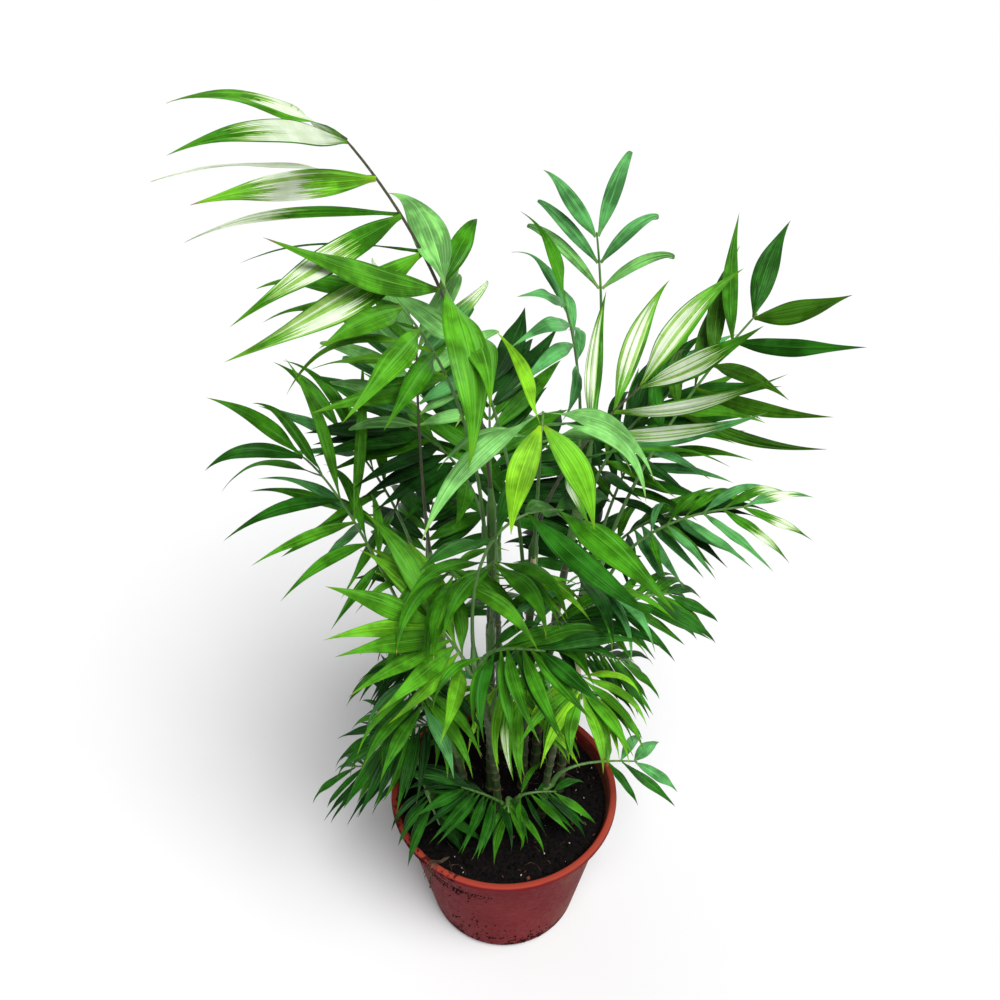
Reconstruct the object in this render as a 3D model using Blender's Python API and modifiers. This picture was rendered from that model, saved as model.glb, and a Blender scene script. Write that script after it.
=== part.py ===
# Parlour palm in a 17 cm nursery pot, for Blender 4.5. Metres, +Z up, origin under the pot's middle.
# The left-hand side of the plant is at -X and its front at -Y.
# A clump of thin canes rises from the soil. Each cane carries fronds: a petiole and rib drawn as one
# square rod, with leaflets drawn out of the rib's sides.

import math
import random
from collections import namedtuple

import bmesh
import bpy
import numpy as np
from mathutils.bvhtree import BVHTree

MM = 0.001
UP = np.array([0.0, 0.0, 1.0])

# The pot and its soil, in millimetres
POT = {
    "height": 130,
    "base_radius": 57,
    "rim_radius": 85,
    "wall": 1.6,
    "floor": 2.0,
    "base_round": 5,
    "lip_height": 5,
    "lip_width": 3.4,
    "collar_depth": 24,
    "collar_step": 1.4,
    "soil_below_rim": 9,
    "steps": 40,
}
GAP = 0.3  # between touching solids

# Canes: foot on the soil and top (x, y), height over the floor, and radius at foot and top
Cane = namedtuple("Cane", "foot top height foot_radius top_radius")
CANE = {
    "points": 8,
    "lean": 1.5,  # over 1 for a cane that leans more towards its top
    "flare": 0.7,  # that the foot's radius gains
    "flare_ends": 14,  # how soon that is gone
}
CANES = {
    "cane_1": Cane((-36, 4), (-47, 18), 340, 3.0, 2.2),
    "cane_2": Cane((-10, 6), (-8, 0), 410, 3.4, 2.4),
    "cane_3": Cane((14, 6), (17, -16), 390, 3.4, 2.4),
    "cane_4": Cane((24, 26), (52, 50), 400, 3.2, 2.4),
    "cane_5": Cane((42, 6), (60, 10), 345, 3.2, 2.4),
    "cane_6": Cane((-26, -16), (-52, -14), 290, 3.0, 2.2),
    "cane_7": Cane((-4, -24), (-18, -64), 345, 3.0, 2.2),
    "cane_8": Cane((28, -18), (50, -20), 300, 2.8, 2.0),
    "cane_9": Cane((-46, -20), (-56, -22), 165, 2.6, 2.0),
    "cane_10": Cane((-2, 44), (-8, 62), 340, 3.2, 2.2),
    "cane_11": Cane((-36, 34), (-56, 50), 300, 3.0, 2.2),
    "cane_12": Cane((42, 42), (60, 60), 300, 3.0, 2.2),
    "cane_13": Cane((8, -20), (4, -26), 150, 2.4, 1.8),
}

# Fronds: the cane and how far up it they grow, then where the rib's tip is: its bearing round the pot in
# degrees (0 at +X, 90 at the back), its reach from the pot's axis and its height over the floor.
# Then the pairs of leaflets, the longest leaflet, how far the rows fold down, the rib's roll, how
# strongly the rod arches, how much the leaflets droop, the last pair's angle to the rib and how broad
# the leaflets are.
Frond = namedtuple(
    "Frond",
    "cane at bearing reach height pairs leaf fold roll lift droop spread broad",
    defaults=(10, 0, 0.5, 0.5, 30, 1.0),
)
FRONDS = {
    "upper_frond_1": Frond(
        "cane_2", 1.00, 180, 77, 638, 5, 100, 75, lift=0.62, droop=0.2, spread=35, broad=0.85
    ),
    "upper_frond_2": Frond("cane_2", 0.90, 210, 61, 566, 4, 82, 40, lift=0.62, droop=0.6, spread=45),
    "upper_frond_3": Frond("cane_1", 1.00, 149, 58, 511, 5, 68, lift=0.45, droop=0.8),
    "upper_frond_4": Frond(
        "cane_3", 0.94, 282, 82, 525, 4, 78, 15, lift=1.10, droop=1.5, spread=25, broad=1.2
    ),
    "upper_frond_5": Frond("cane_3", 1.00, 345, 76, 512, 4, 92, 0, droop=0.3, spread=24, broad=0.9),
    "upper_frond_6": Frond(
        "cane_7", 1.00, 295, 71, 462, 3, 96, 10, lift=1.30, droop=0.3, spread=18, broad=1.2
    ),
    "upper_frond_7": Frond("cane_4", 1.00, 57, 96, 547, 3, 70, -10, droop=0.7, broad=0.65),
    "upper_frond_8": Frond("cane_4", 0.94, 56, 60, 520, 4, 66, droop=0.9),
    "upper_frond_9": Frond("cane_5", 1.00, 12, 142, 524, 6, 78, droop=0.3, spread=42, broad=0.9),
    "upper_frond_10": Frond("cane_10", 1.00, 95, 105, 430, 5, 76, 20, lift=0.7),
    "upper_frond_11": Frond("cane_4", 0.86, 30, 118, 450, 5, 76, 10, lift=0.6),
    "upper_frond_12": Frond("cane_10", 0.93, 140, 90, 430, 5, 76, 15, lift=0.6),
    "middle_frond_1": Frond("cane_6", 1.00, 185, 117, 457, 6, 82, 5, lift=0.85, spread=36, broad=0.7),
    "middle_frond_2": Frond("cane_7", 0.93, 234, 75, 378, 4, 84, 5, spread=30),
    "middle_frond_3": Frond("cane_5", 0.90, 0, 145, 409, 6, 55, 15, lift=0.6, broad=0.75),
    "middle_frond_4": Frond("cane_1", 0.90, 160, 64, 305, 3, 64, 10, lift=0.3),
    "middle_frond_5": Frond("cane_7", 0.97, 283, 97, 386, 5, 64, 10, lift=0.55, droop=0.7),
    "middle_frond_6": Frond("cane_8", 1.00, 355, 105, 345, 5, 52, 20, lift=0.8, droop=0.7),
    "middle_frond_7": Frond("cane_11", 1.00, 150, 120, 420, 5, 76, 15, lift=0.6),
    "middle_frond_8": Frond("cane_11", 0.90, 165, 105, 380, 5, 70, 15, lift=0.6),
    "middle_frond_9": Frond("cane_12", 1.00, 40, 130, 420, 5, 76, 15, lift=0.6),
    "middle_frond_10": Frond("cane_12", 0.90, 18, 118, 370, 5, 66, 15, lift=0.6),
    "middle_frond_11": Frond("cane_10", 0.85, 75, 115, 370, 5, 76, 20, lift=0.7),
    "middle_frond_12": Frond("cane_12", 0.80, 70, 120, 320, 5, 70, 20, lift=0.7),
    "middle_frond_13": Frond("cane_11", 0.78, 115, 120, 320, 5, 70, 20, lift=0.7),
    "middle_frond_14": Frond("cane_8", 0.88, 310, 74, 300, 6, 60, 20),
    "middle_frond_15": Frond("cane_6", 0.88, 232, 82, 300, 6, 62, 20),
    "upper_frond_13": Frond(
        "cane_3", 0.86, 215, 38, 572, 3, 94, 0, lift=0.6, droop=1.0, spread=45, broad=1.2
    ),
    "middle_frond_16": Frond("cane_2", 0.62, 262, 45, 402, 5, 76, 15, lift=0.8),
    "middle_frond_17": Frond("cane_3", 0.55, 318, 52, 345, 5, 70, 15, lift=0.8),
    "middle_frond_18": Frond("cane_5", 0.72, 305, 62, 395, 6, 76, 15, lift=0.7),
    "middle_frond_19": Frond("cane_1", 0.76, 245, 62, 400, 6, 74, 15, lift=0.7),
    "middle_frond_20": Frond("cane_2", 0.36, 285, 42, 275, 6, 62, 20, lift=0.8),
    "lower_frond_1": Frond("cane_9", 1.00, 184, 110, 166, 7, 54, 15, broad=0.8),
    "lower_frond_2": Frond("cane_9", 0.86, 150, 80, 212, 6, 50, 15, broad=0.85),
    "lower_frond_3": Frond("cane_8", 0.20, 0, 98, 162, 3, 52, 0, droop=0.3),
    "lower_frond_4": Frond("cane_8", 0.62, 20, 84, 198, 5, 54, 15, lift=0.6),
    "lower_frond_5": Frond("cane_13", 1.00, 275, 40, 155, 4, 44, 10, lift=0.8),
    "lower_frond_6": Frond("cane_13", 0.90, 325, 46, 162, 4, 44, 10, lift=0.8),
    "lower_frond_7": Frond("cane_9", 0.92, 226, 66, 152, 5, 50, 15, lift=0.8),
    "lower_frond_8": Frond("cane_11", 0.55, 150, 100, 225, 6, 58, 20, lift=0.6),
    "lower_frond_9": Frond("cane_12", 0.50, 30, 102, 215, 6, 56, 20, lift=0.6),
    "lower_frond_10": Frond("cane_10", 0.50, 95, 112, 225, 6, 60, 20, lift=0.6),
    "lower_frond_11": Frond("cane_6", 0.55, 205, 92, 232, 6, 58, 15, lift=0.6),
    "lower_frond_12": Frond("cane_13", 0.80, 235, 52, 190, 5, 54, 15, lift=0.6),
}

# Leaflets that stand out on the plant, by pair (0 is the lowest) and side (1 is to the right, seen from the
# cane): length as a share of the frond's longest, width as a share of the rule's, angle to the rib, fold
# and droop
OWN = {
    "upper_frond_1": {
        (4, 1): (0.89, 0.70, 27, 74, 0.6),
        (4, -1): (1.25, 1.10, 53, -1, 0.4),
        (3, 1): (1.21, 0.40, 57, 74, 0.3),
        (3, -1): (0.90, 1.10, 50, 54, 0.4),
        (2, 1): (1.28, 0.40, 62, 74, 0.8),
        (2, -1): (1.28, 1.10, 71, 22, 0.3),
        (1, 1): (1.03, 0.45, 67, 74, 0.4),
        (1, -1): (1.28, 1.20, 77, 32, -0.2),
        (0, 1): (0.60, 1.00, 63, -35, 0.9),
        (0, -1): (1.28, 1.15, 49, 23, -0.3),
    },
    "upper_frond_2": {
        (1, 1): (1.10, 0.90, 37, 60, 1.8),
        (0, 1): (1.01, 1.00, 75, 32, 0.6),
        (0, -1): (1.22, 1.10, 49, 65, 0.2),
    },
    "upper_frond_4": {
        (3, 1): (0.72, 1.00, 17, -9, 1.1),
        (3, -1): (0.75, 1.00, 44, 10, 1.8),
        (2, 1): (1.17, 1.15, 64, 35, 1.0),
        (2, -1): (1.01, 1.00, 103, 15, 1.6),
        (1, 1): (0.74, 0.90, 39, -60, -0.2),
    },
    "upper_frond_5": {
        (3, 1): (0.86, 1.00, 24, 11, -0.2),
        (3, -1): (0.89, 1.10, 21, -17, 0.4),
        (2, 1): (1.27, 0.80, 41, 17, -0.3),
        (2, -1): (0.92, 1.10, 42, -20, 0.4),
        (1, 1): (1.18, 1.00, 43, 43, -0.3),
        (1, -1): (1.00, 1.00, 57, -19, 0.2),
        (0, -1): (1.08, 1.00, 55, 74, 0.9),
    },
    "upper_frond_6": {
        (2, 1): (0.96, 1.00, 93, -55, 0.7),
        (1, 1): (0.96, 1.00, 79, 6, -0.2),
        (0, 1): (0.87, 0.90, 82, -40, 0.2),
    },
    "upper_frond_7": {
        (2, 1): (0.92, 1.00, 24, 19, 1.0),
        (2, -1): (0.74, 1.10, 26, 0, 0.3),
        (1, 1): (0.80, 1.00, 41, 3, 1.2),
        (1, -1): (0.89, 1.00, 32, 15, 0.7),
        (0, 1): (0.86, 1.10, 49, -10, 1.2),
        (0, -1): (1.11, 1.10, 36, 24, 1.1),
    },
    "upper_frond_9": {
        (5, 1): (0.72, 1.00, 40, 20, -0.3),
        (5, -1): (0.84, 1.15, 43, 6, -0.2),
        (4, 1): (0.98, 0.85, 52, 21, -0.1),
        (4, -1): (1.05, 0.85, 58, -2, -0.3),
        (3, 1): (0.78, 0.90, 60, -4, 0.5),
        (2, 1): (1.06, 0.90, 64, 30, -0.2),
        (1, 1): (1.28, 0.80, 68, 22, -0.3),
    },
    "upper_frond_13": {
        (2, -1): (1.09, 1.00, 98, -16, 2.1),
        (1, -1): (0.85, 1.00, 79, -8, 0.7),
        (0, 1): (0.75, 1.20, 60, 17, 0.3),
    },
    "middle_frond_1": {
        (5, 1): (0.76, 1.00, 5, 11, 0.2),
        (5, -1): (0.74, 1.00, 20, 27, 1.2),
        (4, 1): (1.13, 1.00, 67, 60, 1.1),
        (4, -1): (1.28, 1.00, 29, -52, 0.7),
        (3, 1): (1.12, 1.00, 35, -3, 0.5),
        (3, -1): (1.04, 1.00, 43, 20, 0.9),
        (2, 1): (1.28, 1.00, 43, -27, 0.7),
        (2, -1): (1.02, 1.00, 51, 19, 0.6),
        (1, -1): (0.88, 1.00, 53, 22, 0.9),
        (0, -1): (0.80, 1.00, 67, 6, 0.5),
    },
}

# The rod that every frond has: petiole and rib
ROD = {
    "petiole_half": 1.5,  # half the rod's side at the cane
    "rib_half": 0.7,  # and at the rib's tip
    "off_cane": 1.2,  # of the petiole's half side, between its middle and the cane
    "lean_out": 0.05,  # sideways share of the way that it leaves the cane
    "past_last": 0.8,  # that the rib runs on past the last seat
    "petiole_rings": 5,
}
# The leaflets that every frond has, as shares of the frond's longest leaflet unless it says otherwise
LEAFLET = {
    "seat": 0.055,  # that its seat on the rib takes
    "spacing": 0.22,  # between pairs
    "most_leafy": 0.72,  # of the rod that may carry leaflets
    "lowest": 0.70,  # length of the lowest one
    "swell": 0.44,  # that the ones above it gain
    "swell_from": 0.05,  # where the row starts on the half wave of that gain
    "swell_over": 0.7,  # and how much of the half wave it takes
    "last_lack": 0.14,  # that the last one lacks
    "width": 0.16,
    "broader": 0.35,  # that the last one's width gains, over the lowest one's
    "thickness": 0.011,
    "angle_low": 68,  # degrees between rib and leaflet at the lowest pair
    "wander": 5,  # degrees that a leaflet strays from the rule
    "droop_late": 1.4,  # how late on the leaflet the droop sets in
    "droop_low": 1.6,  # the lowest pair's droop, over the frond's own
    "droop_less": 1.2,  # less at the last pair
    "peak": 0.72,  # sets how far out the leaflet is widest
    "fullness": 0.8,  # under 1 for a fuller outline
}
SEED = 31
LINE_STEPS = 20  # along a leaflet's midline
SECTIONS = (0.40, 0.74)  # where a leaflet has a cross-section, as shares of its length
STRAYS = ((0, 1.0), (12, 1.0), (-12, 1.0), (24, 0.95), (-24, 0.95), (36, 0.85), (0, 0.7))
# How the rods are kept apart, by moving the middle controls of their curves
ROOM = {
    "clear": 5.0,  # between the middles of two rods
    "samples": 60,  # along a rod
    "at_foot": 4,  # first samples that may stand close to a cane or rod
    "rounds": 80,
    "push": 0.6,  # of what is lacking, in each round
    "least_bend": 0.12,  # that a control is taken to have on a point
}
COLOURS = {
    "pot": ((0.38, 0.09, 0.07), 0.45),
    "soil": ((0.012, 0.009, 0.008), 0.95),
    "cane": ((0.05, 0.09, 0.03), 0.55),
    "frond": ((0.05, 0.24, 0.03), 0.40),
}


def clear_scene():
    for obj in list(bpy.data.objects):
        bpy.data.objects.remove(obj)


def material(name):
    colour, roughness = COLOURS[name]
    made = bpy.data.materials.new(name)
    made.use_nodes = True
    shader = made.node_tree.nodes["Principled BSDF"]
    shader.inputs["Base Color"].default_value = (*colour, 1)
    shader.inputs["Roughness"].default_value = roughness
    shader.inputs["Metallic"].default_value = 0.0
    return made


def unit(vector):
    return vector / max(np.linalg.norm(vector), 1e-12)


def turned(vector, axis, angle):
    """The vector turned about a unit axis, by an angle in radians."""
    return (
        vector * math.cos(angle)
        + np.cross(axis, vector) * math.sin(angle)
        + axis * np.dot(axis, vector) * (1 - math.cos(angle))
    )


def add_mesh(name, mesh, collection, finish):
    obj = bpy.data.objects.new(name, mesh)
    mesh.materials.append(finish)
    collection.objects.link(obj)
    return obj


def turned_piece(name, profile, collection, finish):
    """A closed piece of revolution: the profile runs down its outer side, from axis to axis."""
    mesh = bpy.data.meshes.new(name)
    points = [(r * MM, 0, z * MM) for r, z in profile]
    mesh.from_pydata(points, [(i, i + 1) for i in range(len(points) - 1)], [])
    obj = add_mesh(name, mesh, collection, finish)
    screw = obj.modifiers.new("turn", "SCREW")
    screw.steps = screw.render_steps = POT["steps"]
    screw.use_merge_vertices = True
    screw.merge_threshold = 0.0001
    screw.use_smooth_shade = True
    return obj


def wall_radius(z):
    """The pot wall's outer radius at a height, under the collar."""
    low, high = POT["base_radius"], POT["rim_radius"] - POT["lip_width"] - POT["collar_step"]
    return low + (high - low) * z / POT["height"]


def pot_profile():
    """From the middle of the inner floor, up the inside, over the lip and down the outside to the middle."""
    p = POT
    rim_z, lip_z, collar_z = p["height"], p["height"] - p["lip_height"], p["height"] - p["collar_depth"]
    soften = p["lip_height"] * 0.3
    collar = wall_radius(rim_z) + p["collar_step"]
    inner_top = wall_radius(rim_z) - p["wall"]
    return [
        (0, p["floor"]),
        (wall_radius(p["floor"]) - p["wall"], p["floor"]),
        (inner_top, rim_z - soften),
        (inner_top + soften, rim_z),
        (p["rim_radius"] - soften, rim_z),
        (p["rim_radius"], rim_z - soften),
        (p["rim_radius"], lip_z + soften),
        (p["rim_radius"] - soften, lip_z),
        (collar, lip_z),
        (wall_radius(collar_z) + p["collar_step"], collar_z),
        (wall_radius(collar_z), collar_z - p["collar_step"]),
        (wall_radius(p["base_round"]), p["base_round"]),
        (wall_radius(0) - p["base_round"] * 0.3, p["base_round"] * 0.3),
        (wall_radius(0) - p["base_round"], 0),
        (0, 0),
    ]


def build_pot(collection):
    return turned_piece("pot", pot_profile(), collection, material("pot"))


def soil_top():
    return POT["height"] - POT["soil_below_rim"]


def build_soil(collection):
    low = POT["floor"] + GAP
    inset = POT["wall"] + GAP
    profile = [
        (0, soil_top()),
        (wall_radius(soil_top()) - inset, soil_top()),
        (wall_radius(low) - inset, low),
        (0, low),
    ]
    return turned_piece("soil", profile, collection, material("soil"))


def cane_line(cane):
    """Points up a cane's middle, in millimetres: it leaves the soil upright and leans as it rises."""
    foot = np.array([*cane.foot, soil_top() + GAP])
    top = np.array([*cane.top, cane.height], float)
    rises = np.linspace(0, 1, CANE["points"])
    leans = rises ** CANE["lean"]
    return foot + (top - foot) * np.stack([leans, leans, rises], axis=1)


def cane_radius(cane, share):
    flare = CANE["flare"] * math.exp(-share * CANE["flare_ends"])
    return cane.foot_radius + (cane.top_radius - cane.foot_radius) * share + flare


def build_cane(name, cane, collection, finish):
    curve = bpy.data.curves.new(name, "CURVE")
    curve.dimensions = "3D"
    curve.bevel_depth = MM
    curve.bevel_resolution = 2
    curve.use_fill_caps = True
    line = cane_line(cane)
    spline = curve.splines.new("POLY")
    spline.points.add(len(line) - 1)
    for i, (point, at) in enumerate(zip(spline.points, line)):
        point.co = (*(at * MM), 1)
        point.radius = cane_radius(cane, i / (len(line) - 1))
    obj = bpy.data.objects.new(name, curve)
    curve.materials.append(finish)
    collection.objects.link(obj)
    return obj


def outward(bearing):
    return np.array([math.cos(math.radians(bearing)), math.sin(math.radians(bearing)), 0.0])


def rod_ends(frond):
    """Start, middle control and tip of the quadratic curve that the petiole and rib follow."""
    cane = CANES[frond.cane]
    line = cane_line(cane)
    place = frond.at * (len(line) - 1)
    below = min(int(place), len(line) - 2)
    on_cane = line[below] + (line[below + 1] - line[below]) * (place - below)
    along = unit(line[below + 1] - line[below])
    tip = outward(frond.bearing) * frond.reach + UP * frond.height
    if frond.at == 1.0:
        start = on_cane + along * GAP
        side = unit((tip - on_cane) * [1, 1, 0])
    else:
        side = (tip - on_cane) * [1, 1, 0]
        side = unit(side - along * np.dot(side, along))
        away = cane_radius(cane, frond.at) + ROD["petiole_half"] * ROD["off_cane"] + GAP
        start = on_cane + side * away
    length = np.linalg.norm(tip - start)
    control = start + (along + side * ROD["lean_out"]) * length * frond.lift
    return start, control, tip, side


def rod_points(ends, t):
    start, control, tip = ends[:3]
    t = np.asarray(t, float)[:, None]
    return start * (1 - t) ** 2 + control * 2 * t * (1 - t) + tip * t * t


def rod_lengths(ends):
    """The curve's own parameter at even steps, and how long the rod is up to each."""
    t = np.linspace(0, 1, ROOM["samples"])
    steps = np.linalg.norm(np.diff(rod_points(ends, t), axis=0), axis=1)
    return t, np.concatenate([[0.0], np.cumsum(steps)])


def keep_rods_apart(ends):
    """Moves the curves' middle controls until no rod runs into another rod or a cane."""
    shares = np.linspace(0, 1, ROOM["samples"])
    bend = np.maximum(2 * shares * (1 - shares), ROOM["least_bend"])
    canes = {name: fine_line(cane_line(cane)) for name, cane in CANES.items()}
    names = list(ends)
    for _ in range(ROOM["rounds"]):
        lines = {name: rod_points(ends[name], shares) for name in names}
        push = {name: np.zeros(3) for name in names}
        worst = 0.0
        for i, name in enumerate(names):
            others = [(other, lines[other], True) for other in names[i + 1 :]]
            others += [(c, line, False) for c, line in canes.items() if c != FRONDS[name].cane]
            for other, line, moves in others:
                apart = lines[name][:, None] - line[None]
                far = np.sqrt((apart**2).sum(2))
                far[: ROOM["at_foot"]] += ROOM["clear"]
                if moves:
                    far[:, : ROOM["at_foot"]] += ROOM["clear"]
                a, b = np.unravel_index(far.argmin(), far.shape)
                lack = ROOM["clear"] - far[a, b]
                if lack <= 0:
                    continue
                worst = max(worst, lack)
                way = unit(apart[a, b] + 1e-6) * lack * ROOM["push"]
                push[name] += way / bend[a]
                if moves:
                    push[other] -= way / bend[b]
        for name in names:
            start, control, tip, side = ends[name]
            ends[name] = (start, control + push[name], tip, side)
        if worst == 0.0:
            break
    print("rods short of room by", round(worst, 2), "mm")


def fine_line(line):
    shares = np.linspace(0, len(line) - 1, ROOM["samples"])
    return np.array([[np.interp(s, range(len(line)), line[:, k]) for k in range(3)] for s in shares])


def rod_frame(ends, share, roll):
    """Place at a share of the rod's length, its direction, its right and the way its upper face looks."""
    start, control, tip, side = ends
    steps, lengths = rod_lengths(ends)
    t = np.interp(share * lengths[-1], lengths, steps)
    at = rod_points(ends, [t])[0]
    along = unit((control - start) * (1 - t) + (tip - control) * t)
    right = np.cross(side, UP)
    right = unit(right - along * np.dot(right, along))
    above = np.cross(right, along)
    angle = math.radians(roll) * share
    return at, along, turned(right, along, angle), turned(above, along, angle)


def leaflet_seats(frond, ends):
    """Shares of the rod at which each pair's seat begins and ends, lowest pair first."""
    long = rod_lengths(ends)[1][-1]
    spacing = min(frond.leaf * LEAFLET["spacing"], long * LEAFLET["most_leafy"] / (frond.pairs - 0.5))
    seat = frond.leaf * LEAFLET["seat"]
    end = seat + ROD["past_last"]
    firsts = [1 - ((frond.pairs - 1 - i) * spacing + end) / long for i in range(frond.pairs)]
    return [(first, first + seat / long) for first in firsts]


def leaflet_sizes(frond, i, rng):
    """Length, half width, angle to the rib, fold and droop of the i-th leaflet of a row, lowest first."""
    rule = LEAFLET
    share = i / max(frond.pairs - 1, 1)
    swell = rule["swell"] * math.sin(math.pi * (rule["swell_from"] + rule["swell_over"] * share))
    length = frond.leaf * (rule["lowest"] + swell - rule["last_lack"] * share) * rng.uniform(0.92, 1.06)
    width = frond.leaf * frond.broad * rule["width"] * (0.9 + rule["broader"] * share) * rng.uniform(0.9, 1.1)
    angle = rule["angle_low"] + (frond.spread - rule["angle_low"]) * share
    fold = frond.fold * min(1, 6 * share - 0.5)  # the lowest pair is held up, the others fold down
    droop = frond.droop * (rule["droop_low"] - rule["droop_less"] * share) * rng.uniform(0.7, 1.3)
    return length, width / 2, angle, fold, droop


def leaflet_habit(name, frond, i, side, rng):
    """Length, half width, angle, fold, droop and twist: the leaflet's own, or the rule's and its wander."""
    length, half_width, angle, fold, droop = leaflet_sizes(frond, i, rng)
    wander = [rng.uniform(-1, 1) * LEAFLET["wander"] for _ in range(3)]
    own = OWN.get(name, {}).get((i, side))
    if own:
        share, broader, angle, fold, droop = own
        return frond.leaf * share, half_width * broader, angle, fold, droop, wander[2] * 2
    return length, half_width, angle + wander[0], fold + wander[1], droop, wander[2] * 2


def leaflet_line(frame, side, length, angle, fold, droop, twist):
    """Midline points and, at each, the way across the leaflet and the way its upper face looks."""
    at, along, right, above = frame
    a, f = math.radians(angle), math.radians(fold)
    way = along * math.cos(a) + (right * side * math.cos(f) - above * math.sin(f)) * math.sin(a)
    point, across, points = np.array(at), along, []
    for k in range(LINE_STEPS + 1):
        s = k / LINE_STEPS
        now = unit(way - UP * droop * s ** LEAFLET["droop_late"])
        across = unit(across - now * np.dot(across, now))
        flat = turned(across, now, math.radians(twist) * s * side)
        points.append((point.copy(), flat, side * np.cross(now, flat)))
        point += now * length / LINE_STEPS
    return points


def leaf_profile(s):
    """Half width at a share of the length, where 1 is the widest."""
    return max(0.0, math.sin(math.pi * min(1, s ** LEAFLET["peak"])) ** LEAFLET["fullness"])


def leaflet_sections(line, half_width, thickness, grow=0.0):
    """Corners of each cross-section and the tip: back low, back up, front up, front low."""
    corners = []
    for share in SECTIONS:
        at, across, above = line[round(share * LINE_STEPS)]
        wide, high = half_width * leaf_profile(share) + grow, thickness / 2 + grow
        corners.append([at - across * wide - above * high, at - across * wide + above * high,
                        at + across * wide + above * high, at + across * wide - above * high])
    return corners, line[-1][0]


def test_shape(seat, corners, tip):
    """The leaflet's faces as a search tree, for finding what it would run into."""
    points = [p for ring in (seat, *corners) for p in ring] + [tip]
    faces = []
    for first in range(0, 4 * len(corners), 4):
        faces += [(first + k, first + (k + 1) % 4, first + 4 + (k + 1) % 4, first + 4 + k) for k in range(4)]
    last = 4 * len(corners)
    faces += [(last + k, last + (k + 1) % 4, last + 4) for k in range(4)]
    return BVHTree.FromPolygons([tuple(p) for p in points], faces), np.array(points)


class Space:
    """What has been placed so far, as search trees with their boxes."""

    def __init__(self):
        self.taken = []

    def add(self, owner, tree, points):
        self.taken.append((owner, tree, points.min(0), points.max(0)))

    def is_free(self, tree, points, ignore=()):
        low, high = points.min(0), points.max(0)
        for owner, other, other_low, other_high in self.taken:
            if owner in ignore or (low > other_high).any() or (high < other_low).any():
                continue
            if tree.overlap(other):
                return False
        return True


def rod_half(share):
    return ROD["petiole_half"] + (ROD["rib_half"] - ROD["petiole_half"]) * share


def rod_ring(ends, share, roll, grow=0.0):
    at, _, right, above = rod_frame(ends, share, roll)
    half = rod_half(share) + grow
    return [at - right * half - above * half, at + right * half - above * half,
            at + right * half + above * half, at - right * half + above * half]


def ring_shares(frond, ends):
    seats = leaflet_seats(frond, ends)
    petiole = np.linspace(0, seats[0][0], ROD["petiole_rings"], endpoint=False)
    return [*petiole, *[share for seat in seats for share in seat], 1.0]


def tube_tree(rings):
    """A closed tube through rings of four corners, as a search tree."""
    points = [p for ring in rings for p in ring]
    faces = [(0, 1, 2, 3), tuple(len(points) - 1 - k for k in range(4))]
    for first in range(0, len(points) - 4, 4):
        faces += [(first + k, first + (k + 1) % 4, first + 4 + (k + 1) % 4, first + 4 + k) for k in range(4)]
    return BVHTree.FromPolygons([tuple(p) for p in points], faces), np.array(points)


def object_tree(obj):
    graph = bpy.context.evaluated_depsgraph_get()
    mesh = obj.evaluated_get(graph).to_mesh()
    points = np.array([v.co for v in mesh.vertices]) / MM
    tree = BVHTree.FromPolygons([tuple(p) for p in points], [tuple(f.vertices) for f in mesh.polygons])
    return tree, points


def grow_leaflets(name, frond, ends, space):
    """The leaflets that find room, as {(pair, side): (sections, tip)}."""
    rng = random.Random(f"{SEED} {name}")
    kept, missed = {}, 0
    seats = leaflet_seats(frond, ends)
    shares = ring_shares(frond, ends)
    for i, (low, high) in enumerate(seats):
        for side in (1, -1):
            length, half_width, angle, fold, droop, twist = leaflet_habit(name, frond, i, side, rng)
            first, last = rod_ring(ends, low, frond.roll), rod_ring(ends, high, frond.roll)
            low_edge, high_edge = (1, 2) if side > 0 else (0, 3)
            seat = [first[low_edge], first[high_edge], last[high_edge], last[low_edge]]
            at, along, right, above = rod_frame(ends, (low + high) / 2, frond.roll)
            at = at + right * side * rod_half(low)
            for stray, shorter in STRAYS:
                line = leaflet_line(
                    (at, along, right, above), side, length * shorter, angle, fold + stray, droop, twist
                )
                thickness = frond.leaf * LEAFLET["thickness"]
                corners, tip = leaflet_sections(line, half_width, thickness)
                tested, _ = leaflet_sections(line, half_width, thickness, grow=GAP)
                tree, points = test_shape(seat, tested, tip)
                if space.is_free(tree, points, ignore=(f"{name} rib", f"{name} {i} {-side}")):
                    break
            else:
                missed += 1
                continue
            space.add(f"{name} {i} {side}", tree, points)
            kept[i, side] = (corners, tip)
    return kept, missed, shares


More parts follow.
